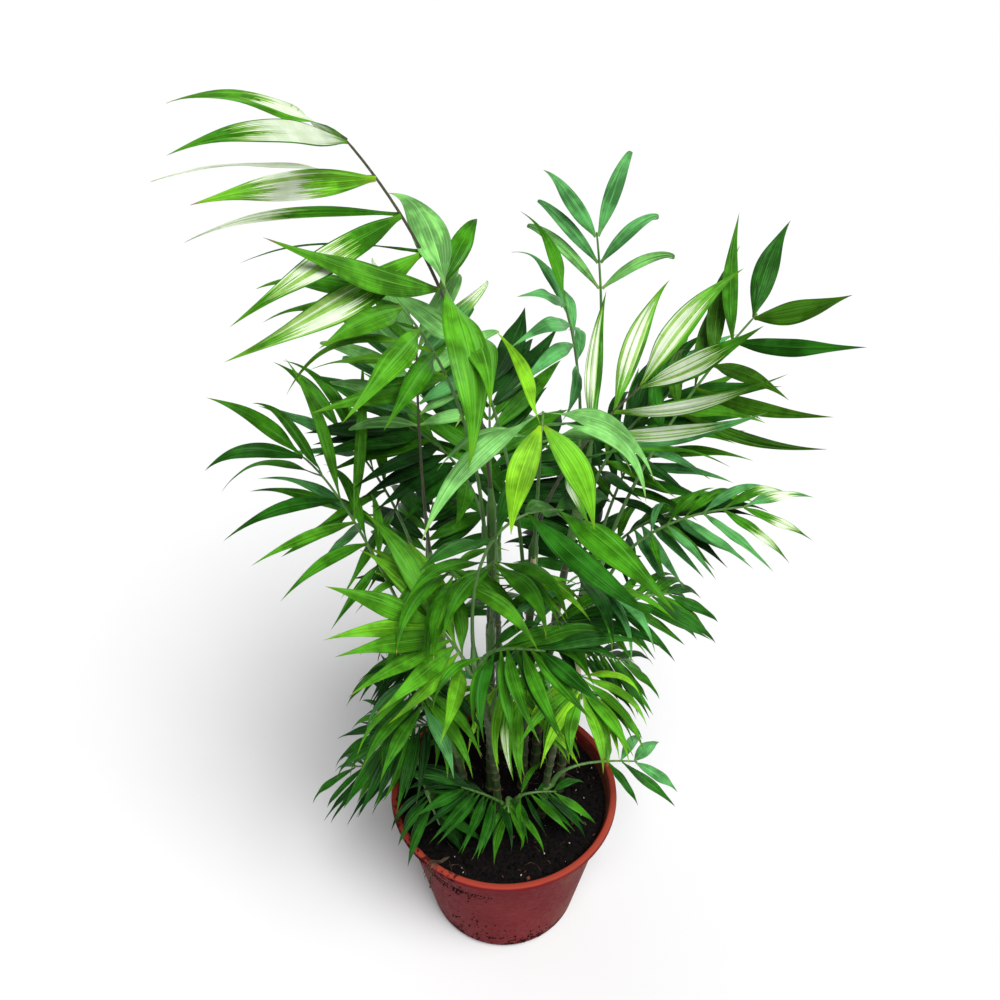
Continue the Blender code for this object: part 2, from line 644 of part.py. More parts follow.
def frond_mesh(name, frond, ends, kept, shares):
    """Rod and leaflets as one closed body: each leaflet is drawn out of its seat on the rod's side."""
    shape = bmesh.new()

    def ring(points):
        return [shape.verts.new(p * MM) for p in points]

    def band(first, last, leave=()):
        for k in range(4):
            if k not in leave:
                shape.faces.new((first[k], first[(k + 1) % 4], last[(k + 1) % 4], last[k]))

    def draw_leaflet(seat, corners, tip):
        for section in corners:
            last = ring(section)
            band(seat, last)
            seat = last
        end = shape.verts.new(tip * MM)
        for k in range(4):
            shape.faces.new((seat[k], seat[(k + 1) % 4], end))

    rings = [ring(rod_ring(ends, share, frond.roll)) for share in shares]
    shape.faces.new(rings[0][::-1])
    shape.faces.new(rings[-1])
    for number, (first, last) in enumerate(zip(rings, rings[1:])):
        pair, odd = divmod(number - ROD["petiole_rings"], 2)
        at_seat = pair >= 0 and odd == 0 and pair < frond.pairs
        leave = [k for k, side in ((1, 1), (3, -1)) if at_seat and (pair, side) in kept]
        band(first, last, leave)
        if 1 in leave:
            draw_leaflet([first[1], first[2], last[2], last[1]], *kept[pair, 1])
        if 3 in leave:
            draw_leaflet([first[0], first[3], last[3], last[0]], *kept[pair, -1])
    bmesh.ops.recalc_face_normals(shape, faces=shape.faces)
    mesh = bpy.data.meshes.new(name)
    shape.to_mesh(mesh)
    shape.free()
    return mesh


def main():
    clear_scene()
    collection = bpy.data.collections.new("parlour palm")
    bpy.context.scene.collection.children.link(collection)
    space = Space()
    for build in (build_pot, build_soil):
        space.add("pot", *object_tree(build(collection)))
    cane_finish, frond_finish = material("cane"), material("frond")
    for name, cane in CANES.items():
        space.add(name, *object_tree(build_cane(name, cane, collection, cane_finish)))
    ends = {name: rod_ends(frond) for name, frond in FRONDS.items()}
    keep_rods_apart(ends)
    for name, frond in FRONDS.items():
        rings = [rod_ring(ends[name], share, frond.roll, GAP / 3) for share in np.linspace(0, 1, 14)]
        tree, points = tube_tree(rings)
        if not space.is_free(tree, points):
            print(name, "rib runs into something")
        space.add(f"{name} rib", tree, points)
    lost = 0
    for name, frond in FRONDS.items():
        kept, missed, shares = grow_leaflets(name, frond, ends[name], space)
        lost += missed
        add_mesh(name, frond_mesh(name, frond, ends[name], kept, shares), collection, frond_finish)
    print("leaflets left out:", lost)


main()
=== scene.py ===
# A potted parlour palm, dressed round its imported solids. Metres, +Z up.
# The picture's left is -X and the camera stands at -Y. Lengths in the settings are millimetres.
import math
import random
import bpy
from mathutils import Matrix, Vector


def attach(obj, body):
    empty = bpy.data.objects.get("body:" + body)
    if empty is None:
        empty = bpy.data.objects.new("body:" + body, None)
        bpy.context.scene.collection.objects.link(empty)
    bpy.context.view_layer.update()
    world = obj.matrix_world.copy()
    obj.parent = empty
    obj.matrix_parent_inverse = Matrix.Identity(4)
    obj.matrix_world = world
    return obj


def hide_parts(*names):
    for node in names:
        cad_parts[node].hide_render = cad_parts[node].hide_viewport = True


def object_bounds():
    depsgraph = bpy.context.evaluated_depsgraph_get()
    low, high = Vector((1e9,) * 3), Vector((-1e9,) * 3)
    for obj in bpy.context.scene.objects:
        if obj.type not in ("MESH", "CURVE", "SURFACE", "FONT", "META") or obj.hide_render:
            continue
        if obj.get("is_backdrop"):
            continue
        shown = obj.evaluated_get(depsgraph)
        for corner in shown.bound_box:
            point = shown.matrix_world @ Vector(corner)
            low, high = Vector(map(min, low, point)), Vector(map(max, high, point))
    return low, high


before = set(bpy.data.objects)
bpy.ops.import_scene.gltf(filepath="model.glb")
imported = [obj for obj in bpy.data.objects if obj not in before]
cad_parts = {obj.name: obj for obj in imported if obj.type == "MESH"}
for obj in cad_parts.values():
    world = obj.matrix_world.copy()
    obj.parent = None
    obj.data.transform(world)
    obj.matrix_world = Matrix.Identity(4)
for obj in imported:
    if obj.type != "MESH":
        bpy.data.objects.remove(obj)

from types import SimpleNamespace

import bmesh
import bpy
import numpy as np
from mathutils import Vector, noise
from mathutils.bvhtree import BVHTree

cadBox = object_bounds()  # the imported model's box, before anything is added
mm = 0.001
up = np.array([0.0, 0.0, 1.0])
print("frame:", len(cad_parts), "solids")


# Camera, lights and floor

photoView = {
    "place": (-0.003, -0.520, 0.856),  # metres
    "lookingDown": 40.35,  # degrees under the horizon
    "lens": 41.4,
    "sensor": 36,
}
studio = {
    "floorSize": 24.0,  # metres
    "floorBelow": 0.0003,  # metres under the pot
    "floorColour": (0.62, 0.62, 0.62),
    "skyColour": (0.97, 0.99, 1.0),
    "skyStrength": 0.25,
    "suns": {  # where each comes from (bearing, height over the horizon), strength, softness in degrees
        "keySun": (300, 62, 4.8, 34),
        "fillSun": (130, 50, 0.35, 60),
    },
}


def setCamera():
    lens = bpy.data.cameras.new("photoCamera")
    lens.lens = photoView["lens"]
    lens.sensor_width = photoView["sensor"]
    eye = bpy.data.objects.new("photoCamera", lens)
    eye.location = photoView["place"]
    eye.rotation_euler = (math.radians(90 - photoView["lookingDown"]), 0, 0)
    bpy.context.scene.collection.objects.link(eye)
    bpy.context.scene.camera = eye


def setLights():
    world = bpy.data.worlds.new("paleSky")
    world.use_nodes = True
    sky = world.node_tree.nodes["Background"]
    sky.inputs["Color"].default_value = (*studio["skyColour"], 1)
    sky.inputs["Strength"].default_value = studio["skyStrength"]
    bpy.context.scene.world = world
    for name, (bearing, height, strength, softness) in studio["suns"].items():
        sun = bpy.data.lights.new(name, "SUN")
        sun.energy = strength
        sun.angle = math.radians(softness)
        lamp = bpy.data.objects.new(name, sun)
        lamp.rotation_euler = (math.radians(90 - height), 0, math.radians(bearing + 90))
        bpy.context.scene.collection.objects.link(lamp)


# Node helpers

def node(tree, kind, inputs=None, **settings):
    made = tree.nodes.new("ShaderNode" + kind)
    for key, value in settings.items():
        setattr(made, key, value)
    for key, value in (inputs or {}).items():
        if isinstance(value, bpy.types.NodeSocket):
            tree.links.new(value, made.inputs[key])
        else:
            made.inputs[key].default_value = value
    return made


def mixed(tree, factor, first, second):  # one colour over another
    def asInput(value):
        return value if isinstance(value, bpy.types.NodeSocket) else (*value, 1)

    made = node(tree, "Mix", {0: factor, 6: asInput(first), 7: asInput(second)}, data_type="RGBA")
    return made.outputs[2]


def spread(tree, value, low, high, toLow=0.0, toHigh=1.0):  # a stretch of values onto another, smoothly
    made = node(tree, "MapRange", {0: value, 1: low, 2: high, 3: toLow, 4: toHigh}, interpolation_type="SMOOTHSTEP")
    return made.outputs[0]


def maths(tree, operation, first, second=0.0, third=0.0):
    return node(tree, "Math", {0: first, 1: second, 2: third}, operation=operation).outputs[0]


def cloud(tree, place, scale, detail=3.0, rough=0.55):
    made = node(tree, "TexNoise", {"Vector": place, "Scale": scale, "Detail": detail, "Roughness": rough})
    return made.outputs["Fac"]


def stretchedCloud(tree, place, scale, detail, rough=0.55):  # with a scale of its own along each axis
    return cloud(tree, node(tree, "Mapping", {"Vector": place, "Scale": scale}).outputs[0], 1.0, detail, rough)


def newFinish(name, roughness, specular):
    made = bpy.data.materials.new(name)
    made.use_nodes = True
    shader = made.node_tree.nodes["Principled BSDF"]
    shader.inputs["Roughness"].default_value = roughness
    shader.inputs["Specular IOR Level"].default_value = specular
    return made, made.node_tree, shader


def colourTo(tree, shader, colour):
    tree.links.new(colour, shader.inputs["Base Color"])


def bumpTo(tree, shader, height, strength, distance):
    made = node(tree, "Bump", {"Height": height, "Strength": strength, "Distance": distance * mm})
    tree.links.new(made.outputs[0], shader.inputs["Normal"])


def setFloor():
    finish, tree, shader = newFinish("floorPaint", roughness=0.7, specular=0.25)
    place = node(tree, "TexCoord").outputs["Object"]
    tone = spread(tree, cloud(tree, place, 1.3), 0.3, 0.7)
    colour = studio["floorColour"]
    colourTo(tree, shader, mixed(tree, tone, [c * 0.99 for c in colour], colour))
    half, low = studio["floorSize"] / 2, -studio["floorBelow"]
    mesh = bpy.data.meshes.new("floor")
    mesh.from_pydata([(-half, -half, low), (half, -half, low), (half, half, low), (-half, half, low)], [],
                     [(0, 1, 2, 3)])
    mesh.materials.append(finish)
    floor = bpy.data.objects.new("floor", mesh)
    bpy.context.scene.collection.objects.link(floor)
    floor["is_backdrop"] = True


# Mesh helpers: a heap gathers points and faces from many small shapes, and becomes one piece

def newHeap():
    return {"points": [], "faces": [], "maps": [], "count": 0, "triangles": 0}


def heapUp(heap, points, faces, maps=None):
    points = np.asarray(points, float)
    heap["points"].append(points)
    heap["maps"].append(np.zeros((len(points), 2)) if maps is None else np.asarray(maps, float))
    for rows in faces:
        rows = np.asarray(rows)
        heap["faces"].append(rows + heap["count"])
        heap["triangles"] += len(rows) * (rows.shape[1] - 2)
    heap["count"] += len(points)


def pieceFrom(name, heap, finish, slot, nodes=(), sharp=42):
    points = np.concatenate(heap["points"]) * mm
    corners = np.concatenate([rows.ravel() for rows in heap["faces"]])
    sizes = np.concatenate([np.full(len(rows), rows.shape[1]) for rows in heap["faces"]])
    mesh = bpy.data.meshes.new(name)
    mesh.vertices.add(len(points))
    mesh.vertices.foreach_set("co", points.astype(np.float32).ravel())
    mesh.loops.add(len(corners))
    mesh.loops.foreach_set("vertex_index", corners.astype(np.int32))
    mesh.polygons.add(len(sizes))
    mesh.polygons.foreach_set("loop_start", np.concatenate([[0], np.cumsum(sizes)[:-1]]).astype(np.int32))
    mesh.update(calc_edges=True)
    layer = mesh.uv_layers.new(name="surfaceMap")
    maps = np.concatenate(heap["maps"])[corners]
    layer.uv.foreach_set("vector", maps.astype(np.float32).ravel())
    mesh.validate()
    mesh.polygons.foreach_set("use_smooth", np.ones(len(mesh.polygons), bool))
    mesh.set_sharp_from_angle(angle=math.radians(sharp))
    mesh.materials.append(finish)
    piece = bpy.data.objects.new(name, mesh)
    bpy.context.scene.collection.objects.link(piece)
    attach(piece, "root")
    if nodes:
        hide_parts(*nodes)
    print("piece:", name, heap["triangles"], "triangles")
    return piece


def unit(vector):
    return vector / max(np.linalg.norm(vector), 1e-12)


def turned(vector, axis, angle):  # about a unit axis, by radians
    along = axis * np.dot(axis, vector) * (1 - math.cos(angle))
    return vector * math.cos(angle) + np.cross(axis, vector) * math.sin(angle) + along


def tube(heap, line, radii, sides=8, relief=None):  # a closed round tube along a line
    line = np.asarray(line, float)
    ways = np.gradient(line, axis=0)
    right = unit(np.cross(unit(ways[0]), [0.31, 0.87, 0.38]))
    angles = np.arange(sides) * 2 * math.pi / sides
    rings, maps = [], []
    for k, (at, way) in enumerate(zip(line, ways)):
        way = unit(way)
        right = unit(right - way * np.dot(right, way))
        other = np.cross(way, right)
        radius = np.full(sides, radii[k]) if relief is None else radii[k] + relief(k, angles)
        rings.append(at + radius[:, None] * (np.cos(angles)[:, None] * right + np.sin(angles)[:, None] * other))
        maps.append(np.stack([angles / (2 * math.pi), np.full(sides, k / (len(line) - 1))], axis=1))
    base = np.arange(len(line) - 1)[:, None] * sides
    side = np.arange(sides)[None, :]
    after = (side + 1) % sides
    walls = np.stack([base + side, base + after, base + sides + after, base + sides + side], axis=2)
    last = (len(line) - 1) * sides
    ends = [np.arange(sides)[None, ::-1], np.arange(sides)[None, :] + last]
    heapUp(heap, np.concatenate(rings), [walls.reshape(-1, 4), *ends], np.concatenate(maps))


def drumFaces(rings, steps):  # walls between rings of points, and a fan at each end to a point after the rings
    base = np.arange(rings - 1)[:, None] * steps
    side = np.arange(steps)[None, :]
    after = (side + 1) % steps
    walls = np.stack([base + side, base + steps + side, base + steps + after, base + after], axis=2)
    last, middle = (rings - 1) * steps, rings * steps
    side, after = side[0], after[0]
    first = np.stack([np.full(steps, middle), side, after], axis=1)
    end = np.stack([last + side, np.full(steps, middle + 1), last + after], axis=1)
    return [walls.reshape(-1, 4), first, end]


def boxWalls(rings):  # walls between rings of four points
    return [(first + k, first + (k + 1) % 4, first + 4 + (k + 1) % 4, first + 4 + k)
            for first in range(0, 4 * rings - 4, 4) for k in range(4)]


def gridFaces(grid):
    return np.stack([grid[:-1, :-1], grid[1:, :-1], grid[1:, 1:], grid[:-1, 1:]], axis=2).reshape(-1, 4)


def lathe(heap, profile, steps):  # a closed body turned about the upright axis, from axis to axis
    inner = np.array(profile[1:-1], float)
    angles = np.arange(steps) * 2 * math.pi / steps
    rings = np.stack([inner[:, None, 0] * np.cos(angles), inner[:, None, 0] * np.sin(angles),
                      np.repeat(inner[:, 1:], steps, axis=1)], axis=2).reshape(-1, 3)
    points = np.concatenate([rings, [[0, 0, profile[0][1]], [0, 0, profile[-1][1]]]])
    heapUp(heap, points, drumFaces(len(inner), steps))


def lump(heap, rng, at, size, flat=1.0, rough=0.35):  # a small crumb of an uneven shape
    shape = crumbShape
    turn = [unit(np.array([rng.gauss(0, 1) for _ in range(3)]))]
    turn.append(unit(np.cross(turn[0], [rng.gauss(0, 1) for _ in range(3)])))
    turn.append(np.cross(turn[0], turn[1]))
    stretch = np.array([rng.uniform(0.65, 1.25), rng.uniform(0.65, 1.25), flat])
    swell = np.array([1 + rng.uniform(-rough, rough) for _ in range(len(shape[0]))])
    points = (shape[0] * swell[:, None] * stretch) @ np.array(turn) * size / 2 + at
    heapUp(heap, points, [shape[1]])


def roundShape(cuts):
    ball = bmesh.new()
    bmesh.ops.create_icosphere(ball, subdivisions=cuts, radius=1)
    points = np.array([v.co for v in ball.verts])
    faces = np.array([[v.index for v in f.verts] for f in ball.faces])
    ball.free()
    return points, faces


crumbShape = roundShape(1)


# The pot

potLook = {
    "height": 130, "baseRadius": 57, "rimRadius": 85, "wall": 1.6, "floor": 2.0,
    "lipHeight": 5, "lipWidth": 3.4, "collarDepth": 24, "collarStep": 1.4,
    "footRing": 4.5, "footRecess": 0.8, "steps": 160,
    # the lip's bright red is a painted highlight along its top edge, and the tan-green a painted reflection on the
    # side that faces right
    "red": (0.135, 0.010, 0.014), "paintedLipHighlight": (0.30, 0.045, 0.026), "worn": (0.180, 0.022, 0.024),
    "paintedReflection": (0.150, 0.070, 0.036), "dirt": (0.010, 0.004, 0.005),
    "specks": {  # where dirt sticks to the wall: bearing, height, spread of each, how many
        "underRim": (236, 104, 9, 9, 120),
        "streak": (250, 99, 9, 3, 40),
        "low": (262, 30, 16, 16, 70),
        "foot": (288, 12, 9, 7, 60),
        "back": (80, 60, 60, 40, 60),
    },
    "speckHeights": (7, 103), "speckSizes": (0.5, 1.7), "speckFlat": 0.6,
}


def wallRadius(z):  # outside the wall, under the collar
    high = potLook["rimRadius"] - potLook["lipWidth"] - potLook["collarStep"]
    return potLook["baseRadius"] + (high - potLook["baseRadius"]) * z / potLook["height"]


def roundedProfile(rows, cuts=5):  # each row: radius, height and how far its corner is rounded
    points = [rows[0][:2]]
    for before, now, after in zip(rows, rows[1:], rows[2:]):
        corner = np.array(now[:2], float)
        if now[2] == 0:
            points.append(tuple(corner))
            continue
        start = corner + unit(np.array(before[:2]) - corner) * now[2]
        end = corner + unit(np.array(after[:2]) - corner) * now[2]
        for t in np.linspace(0, 1, cuts):
            points.append(tuple(start * (1 - t) ** 2 + corner * 2 * t * (1 - t) + end * t * t))
    return points + [rows[-1][:2]]


def potRows():
    p = potLook
    rim, lip, collar = p["height"], p["height"] - p["lipHeight"], p["height"] - p["collarDepth"]
    inner = wallRadius(rim) - p["wall"]
    foot = wallRadius(0) - p["footRing"]
    return [
        (0, p["floor"], 0),
        (wallRadius(p["floor"]) - p["wall"], p["floor"], 1.0),
        (wallRadius(60) - p["wall"], 60, 0),
        (inner - 0.5, rim - 4.5, 1.2),
        (inner + 1.6, rim, 1.5),
        (p["rimRadius"] - 0.6, rim, 1.4),
        (p["rimRadius"], lip + 0.6, 1.2),
        (p["rimRadius"] - 1.2, lip, 0.4),
        (wallRadius(lip) + p["collarStep"], lip, 0.5),
        (wallRadius(collar) + p["collarStep"], collar, 0.6),
        (wallRadius(collar - 2.4), collar - 2.4, 0.8),
        (wallRadius(60), 60, 0),
        (wallRadius(5), 5, 1.5),
        (wallRadius(0) - 1.4, 0.6, 1.0),
        (foot + 2.4, 0, 0.4),
        (foot, 0, 0.4),
        (foot - 1.2, p["footRecess"], 0.4),
        (0, p["footRecess"], 0),
    ]


def potFinish():
    look = potLook
    finish, tree, shader = newFinish("pottedPlastic", roughness=0.55, specular=0.02)
    place = node(tree, "TexCoord").outputs["Object"]
    axes = node(tree, "SeparateXYZ", {0: place}).outputs
    wide = cloud(tree, place, 22, 3)
    fine = cloud(tree, place, 240, 4, 0.65)
    scratches = stretchedCloud(tree, place, (40, 40, 210), 5, 0.7)
    body = mixed(tree, spread(tree, wide, 0.35, 0.7, 0, 0.55), look["red"], look["worn"])
    # painted reflection: a lighter tan-green on the side that faces right; and a painted highlight in warmer red
    # along the lip's top edge
    right = maths(tree, "MULTIPLY", spread(tree, axes["X"], 0.028, 0.075), spread(tree, wide, 0.3, 0.62))
    body = mixed(tree, maths(tree, "MULTIPLY", right, 0.75), body, look["paintedReflection"])
    lip = spread(tree, axes["Z"], 0.1286, 0.1297)
    body = mixed(tree, maths(tree, "MULTIPLY", lip, 0.85), body, look["paintedLipHighlight"])
    # dried soil: under the rim at the left, along the foot, and a thin film with scratches all over
    left = maths(tree, "MULTIPLY", spread(tree, axes["X"], -0.005, -0.055), spread(tree, axes["Z"], 0.075, 0.105))
    low = spread(tree, axes["Z"], 0.035, 0.004)
    grime = maths(tree, "MAXIMUM", left, maths(tree, "MULTIPLY", low, 0.75))
    grime = maths(tree, "ADD", maths(tree, "MULTIPLY", grime, 0.62), spread(tree, scratches, 0.3, 0.75, -0.42, 0.42))
    patches = spread(tree, maths(tree, "ADD", grime, spread(tree, fine, 0.3, 0.7, -0.22, 0.22)), 0.42, 0.62)
    body = mixed(tree, maths(tree, "MULTIPLY", patches, 0.82), body, look["dirt"])
    body = mixed(tree, spread(tree, scratches, 0.58, 0.74, 0, 0.35), body, look["dirt"])
    colourTo(tree, shader, body)
    rough = maths(tree, "ADD", spread(tree, fine, 0.3, 0.7, 0.42, 0.58), maths(tree, "MULTIPLY", patches, 0.3))
    tree.links.new(rough, shader.inputs["Roughness"])
    relief = maths(tree, "ADD", maths(tree, "MULTIPLY", fine, 0.25), maths(tree, "MULTIPLY", patches, 0.6))
    bumpTo(tree, shader, relief, 0.5, 0.35)
    return finish


def buildPot():
    heap = newHeap()
    lathe(heap, roundedProfile(potRows()), potLook["steps"])
    pieceFrom("potShell", heap, potFinish(), "pot", ["pot"], sharp=50)


def soilCrumbFinish(name, dark, light, scale=420.0):
    finish, tree, shader = newFinish(name, roughness=0.93, specular=0.08)
    place = node(tree, "TexCoord").outputs["Object"]
    grain = cloud(tree, place, scale, 4, 0.7)
    colour = mixed(tree, spread(tree, grain, 0.35, 0.72), dark, light)
    colourTo(tree, shader, colour)
    bumpTo(tree, shader, grain, 0.8, 0.5)
    return finish


def buildDirt(finish):  # soil that sticks to the outside of the pot
    look = potLook
    rng = random.Random("dirt on the pot")
    heap = newHeap()
    least, most = look["speckHeights"]
    for bearing, height, wide, high, count in look["specks"].values():
        for _ in range(count):
            out = outward(rng.gauss(bearing, wide))
            z = min(max(rng.gauss(height, high), least), most)
            size = rng.uniform(*look["speckSizes"]) ** 1.2
            lump(heap, rng, out * (wallRadius(z) + size * 0.12) + up * z, size, flat=look["speckFlat"])
    pieceFrom("wallDirt", heap, finish, "soil")


# The soil

soilLook = {
    "belowRim": 9, "gap": 0.3, "rings": 64, "sectors": 190,
    "reach": 75, "edgeAt": 76, "edgeDip": 1.6, "sunk": 0.6,
    "heave": 2.4, "heaveLong": 21, "grit": 1.1, "gritLong": 3.1, "mound": 2.2, "moundWide": 0.55,
    "crumbs": 1500, "smallestCrumb": 0.9, "largestCrumb": 4.2,
    "dark": (0.0012, 0.0010, 0.0014), "brown": (0.008, 0.0055, 0.0045),
    "bark": (0.060, 0.018, 0.012), "barkLight": (0.17, 0.055, 0.040),
    "perlite": (0.42, 0.38, 0.30), "perliteLight": (0.62, 0.58, 0.50),
    "root": (0.030, 0.018, 0.012), "rootLight": (0.12, 0.085, 0.055),
    "barkBits": 26, "barkSize": (1.6, 4.2), "perliteBits": 46, "perliteSize": (0.7, 1.7),
    "roots": 90, "rootLong": (6, 26), "rootThick": (0.12, 0.34), "rootSteps": 9,
}
soilTop = potLook["height"] - soilLook["belowRim"]


def outward(bearing):
    return np.array([math.cos(math.radians(bearing)), math.sin(math.radians(bearing)), 0.0])


def soilHeight(x, y):
    look = soilLook
    far = math.hypot(x, y) / look["edgeAt"]
    long, short = look["heaveLong"], look["gritLong"]
    heave = noise.fractal(Vector((x / long, y / long, 3.7)), 0.9, 2.1, 3) * look["heave"] * (1 - 0.55 * far**4)
    grit = noise.fractal(Vector((x / short, y / short, 8.3)), 0.8, 2.2, 3) * look["grit"]
    mound = look["mound"] * math.exp(-((far / look["moundWide"]) ** 2))
    return soilTop - look["sunk"] + heave + grit + mound - look["edgeDip"] * far**6


def buildSoil(finish):
    look = soilLook
    edge = wallRadius(soilTop) - potLook["wall"] - look["gap"]
    radii = edge * np.linspace(0, 1, look["rings"] + 1)[1:] ** 0.85
    angles = np.arange(look["sectors"]) * 2 * math.pi / look["sectors"]
    points = []
    for r in radii:
        for a in angles:
            x, y = r * math.cos(a), r * math.sin(a)
            points.append((x, y, soilHeight(x, y)))
    low = potLook["floor"] + look["gap"]
    lowEdge = wallRadius(low) - potLook["wall"] - look["gap"]
    points += [(lowEdge * math.cos(a), lowEdge * math.sin(a), low) for a in angles]
    points += [(0, 0, soilHeight(0, 0)), (0, 0, low)]
    heap = newHeap()
    heapUp(heap, points, drumFaces(look["rings"] + 1, look["sectors"]))
    pieceFrom("soilBed", heap, finish, "soil", ["soil"], sharp=60)


def buildCrumbs(finish):
    look = soilLook
    rng = random.Random("crumbs of the soil")

    def spot(least=0.0, most=look["reach"]):
        r, a = math.sqrt(rng.uniform(least**2, most**2)), rng.uniform(0, 2 * math.pi)
        return r * math.cos(a), r * math.sin(a)

    soilCrumbs, barkBits, perliteBits, rootlets = newHeap(), newHeap(), newHeap(), newHeap()
    for _ in range(look["crumbs"]):
        x, y = spot()
        size = look["smallestCrumb"] + (look["largestCrumb"] - look["smallestCrumb"]) * rng.random() ** 3.2
        lump(soilCrumbs, rng, np.array([x, y, soilHeight(x, y) + size * 0.12]), size, flat=rng.uniform(0.5, 0.9))
    for heap, kind, flat, rough in ((barkBits, "bark", 0.35, 0.25), (perliteBits, "perlite", 0.8, 0.2)):
        for _ in range(look[kind + "Bits"]):
            x, y = spot()
            size = rng.uniform(*look[kind + "Size"])
            lump(heap, rng, np.array([x, y, soilHeight(x, y) + 0.5]), size, flat, rough)
    for _ in range(look["roots"]):
        x, y = spot(8, 73)
        way, long = rng.uniform(0, 2 * math.pi), rng.uniform(*look["rootLong"])
        line = []
        for k in range(look["rootSteps"]):
            line.append((x, y, soilHeight(x, y) + 0.35 + 1.3 * math.sin(k * 0.7 + long)))
            way += rng.uniform(-0.6, 0.6)
            toX = x + math.cos(way) * long / look["rootSteps"]
            toY = y + math.sin(way) * long / look["rootSteps"]
            if math.hypot(toX, toY) > look["reach"]:
                break
            x, y = toX, toY
        if len(line) > 3:
            thick = rng.uniform(*look["rootThick"])
            tube(rootlets, line, [thick * (1 - 0.6 * k / len(line)) for k in range(len(line))], 5)
    pieceFrom("soilCrumbs", soilCrumbs, finish, "soil")
    for name, heap, kind in (("barkBits", barkBits, "bark"), ("perliteBits", perliteBits, "perlite")):
        pieceFrom(name, heap, soilCrumbFinish(kind + "Grain", look[kind], look[kind + "Light"]), "soil")
    rootFinish = soilCrumbFinish("rootSkin", look["root"], look["rootLight"], 160.0)
    pieceFrom("rootlets", rootlets, rootFinish, "soil")
    return rootFinish


# A tuft of roots hangs over the rim at the front left

hangingRoots = {
    "bearing": 232.5,
    "wayOut": (  # distance from the middle and height, from the soil over the rim
        (66, 119.5), (70, 121.5), (74, 123.5), (77.5, 127), (80.5, 130.6), (83.5, 131.0), (86.0, 128.6),
        (86.6, 124), (86.3, 119),
    ),
    "rimAt": 5, "drop": 2.2,
    "strands": (  # sideways drift, lowest height and half thickness of each strand
        (0.0, 103, 0.85), (3.2, 112, 0.5), (-3.5, 109, 0.45), (1.2, 117, 0.35), (-6.0, 115, 0.4), (5.5, 119, 0.3),
    ),
}


def buildHangingRoots(finish):
    look = hangingRoots
    rng = random.Random("roots over the rim")
    out = outward(look["bearing"])
    beside = np.cross(up, out)
    heap = newHeap()
    for drift, lowest, thick in look["strands"]:
        line = []
        for k, (r, z) in enumerate(look["wayOut"]):
            if z < lowest and k > look["rimAt"]:
                break
            line.append(out * r + beside * (drift * k / 8 + rng.uniform(-0.4, 0.4)) + up * z)
        z, sway = line[-1][2], rng.uniform(-0.8, 0.8)
        while z > lowest:
            z -= look["drop"]
            step = beside * (sway + rng.uniform(-0.9, 0.9)) + out * rng.uniform(-0.35, 0.15)
            line.append(line[-1] * [1, 1, 0] + up * z + step)
        count = len(line)
        radii = [thick * (0.75 + 0.4 * math.sin(k * 1.7 + drift)) * (1 - 0.5 * k / count) for k in range(count)]
        tube(heap, line, radii, 6)
    pieceFrom("hangingRoots", heap, finish, "soil")


# The canes

caneLook = {
    "points": 8, "lean": 1.5, "flare": 0.7, "flareEnds": 14,
    "sides": 16, "step": 1.1, "ringGap": 15, "ringSwell": 0.32, "ringNeck": 0.16, "fibre": 0.05,
    "green": (0.038, 0.080, 0.018), "dark": (0.016, 0.032, 0.010), "grey": (0.085, 0.085, 0.045),
    "scar": (0.12, 0.08, 0.04), "scarHalf": 0.5, "scarFlat": 0.2, "scarSunk": 0.1, "scarOut": 0.09,
    "sunk": 4,  # how far a stem goes on into the soil
}


def cane(foot, top, height, footRadius, topRadius):
    return SimpleNamespace(**locals())


caneRows = {  # foot on the soil, top, height over the floor, radius at foot and top
    "cane_1": cane((-36, 4), (-47, 18), 340, 3.0, 2.2),
    "cane_2": cane((-10, 6), (-8, 0), 410, 3.4, 2.4),
    "cane_3": cane((14, 6), (17, -16), 390, 3.4, 2.4),
    "cane_4": cane((24, 26), (52, 50), 400, 3.2, 2.4),
    "cane_5": cane((42, 6), (60, 10), 345, 3.2, 2.4),
    "cane_6": cane((-26, -16), (-52, -14), 290, 3.0, 2.2),
    "cane_7": cane((-4, -24), (-18, -64), 345, 3.0, 2.2),
    "cane_8": cane((28, -18), (50, -20), 300, 2.8, 2.0),
    "cane_9": cane((-46, -20), (-56, -22), 165, 2.6, 2.0),
    "cane_10": cane((-2, 44), (-8, 62), 340, 3.2, 2.2),
    "cane_11": cane((-36, 34), (-56, 50), 300, 3.0, 2.2),
    "cane_12": cane((42, 42), (60, 60), 300, 3.0, 2.2),
    "cane_13": cane((8, -20), (4, -26), 150, 2.4, 1.8),
}


def caneLine(row):  # points up a cane's middle: it leaves the soil upright and leans as it rises
    foot = np.array([*row.foot, soilTop + soilLook["gap"]])
    top = np.array([*row.top, row.height], float)
    rises = np.linspace(0, 1, caneLook["points"])
    leans = rises ** caneLook["lean"]
    return foot + (top - foot) * np.stack([leans, leans, rises], axis=1)


def caneRadius(row, share):
    flare = caneLook["flare"] * math.exp(-share * caneLook["flareEnds"])
    return row.footRadius + (row.topRadius - row.footRadius) * share + flare


def onCane(line, share):
    place = np.clip(share, 0, 1) * (len(line) - 1)
    return np.array([np.interp(place, range(len(line)), line[:, k]) for k in range(3)]).T


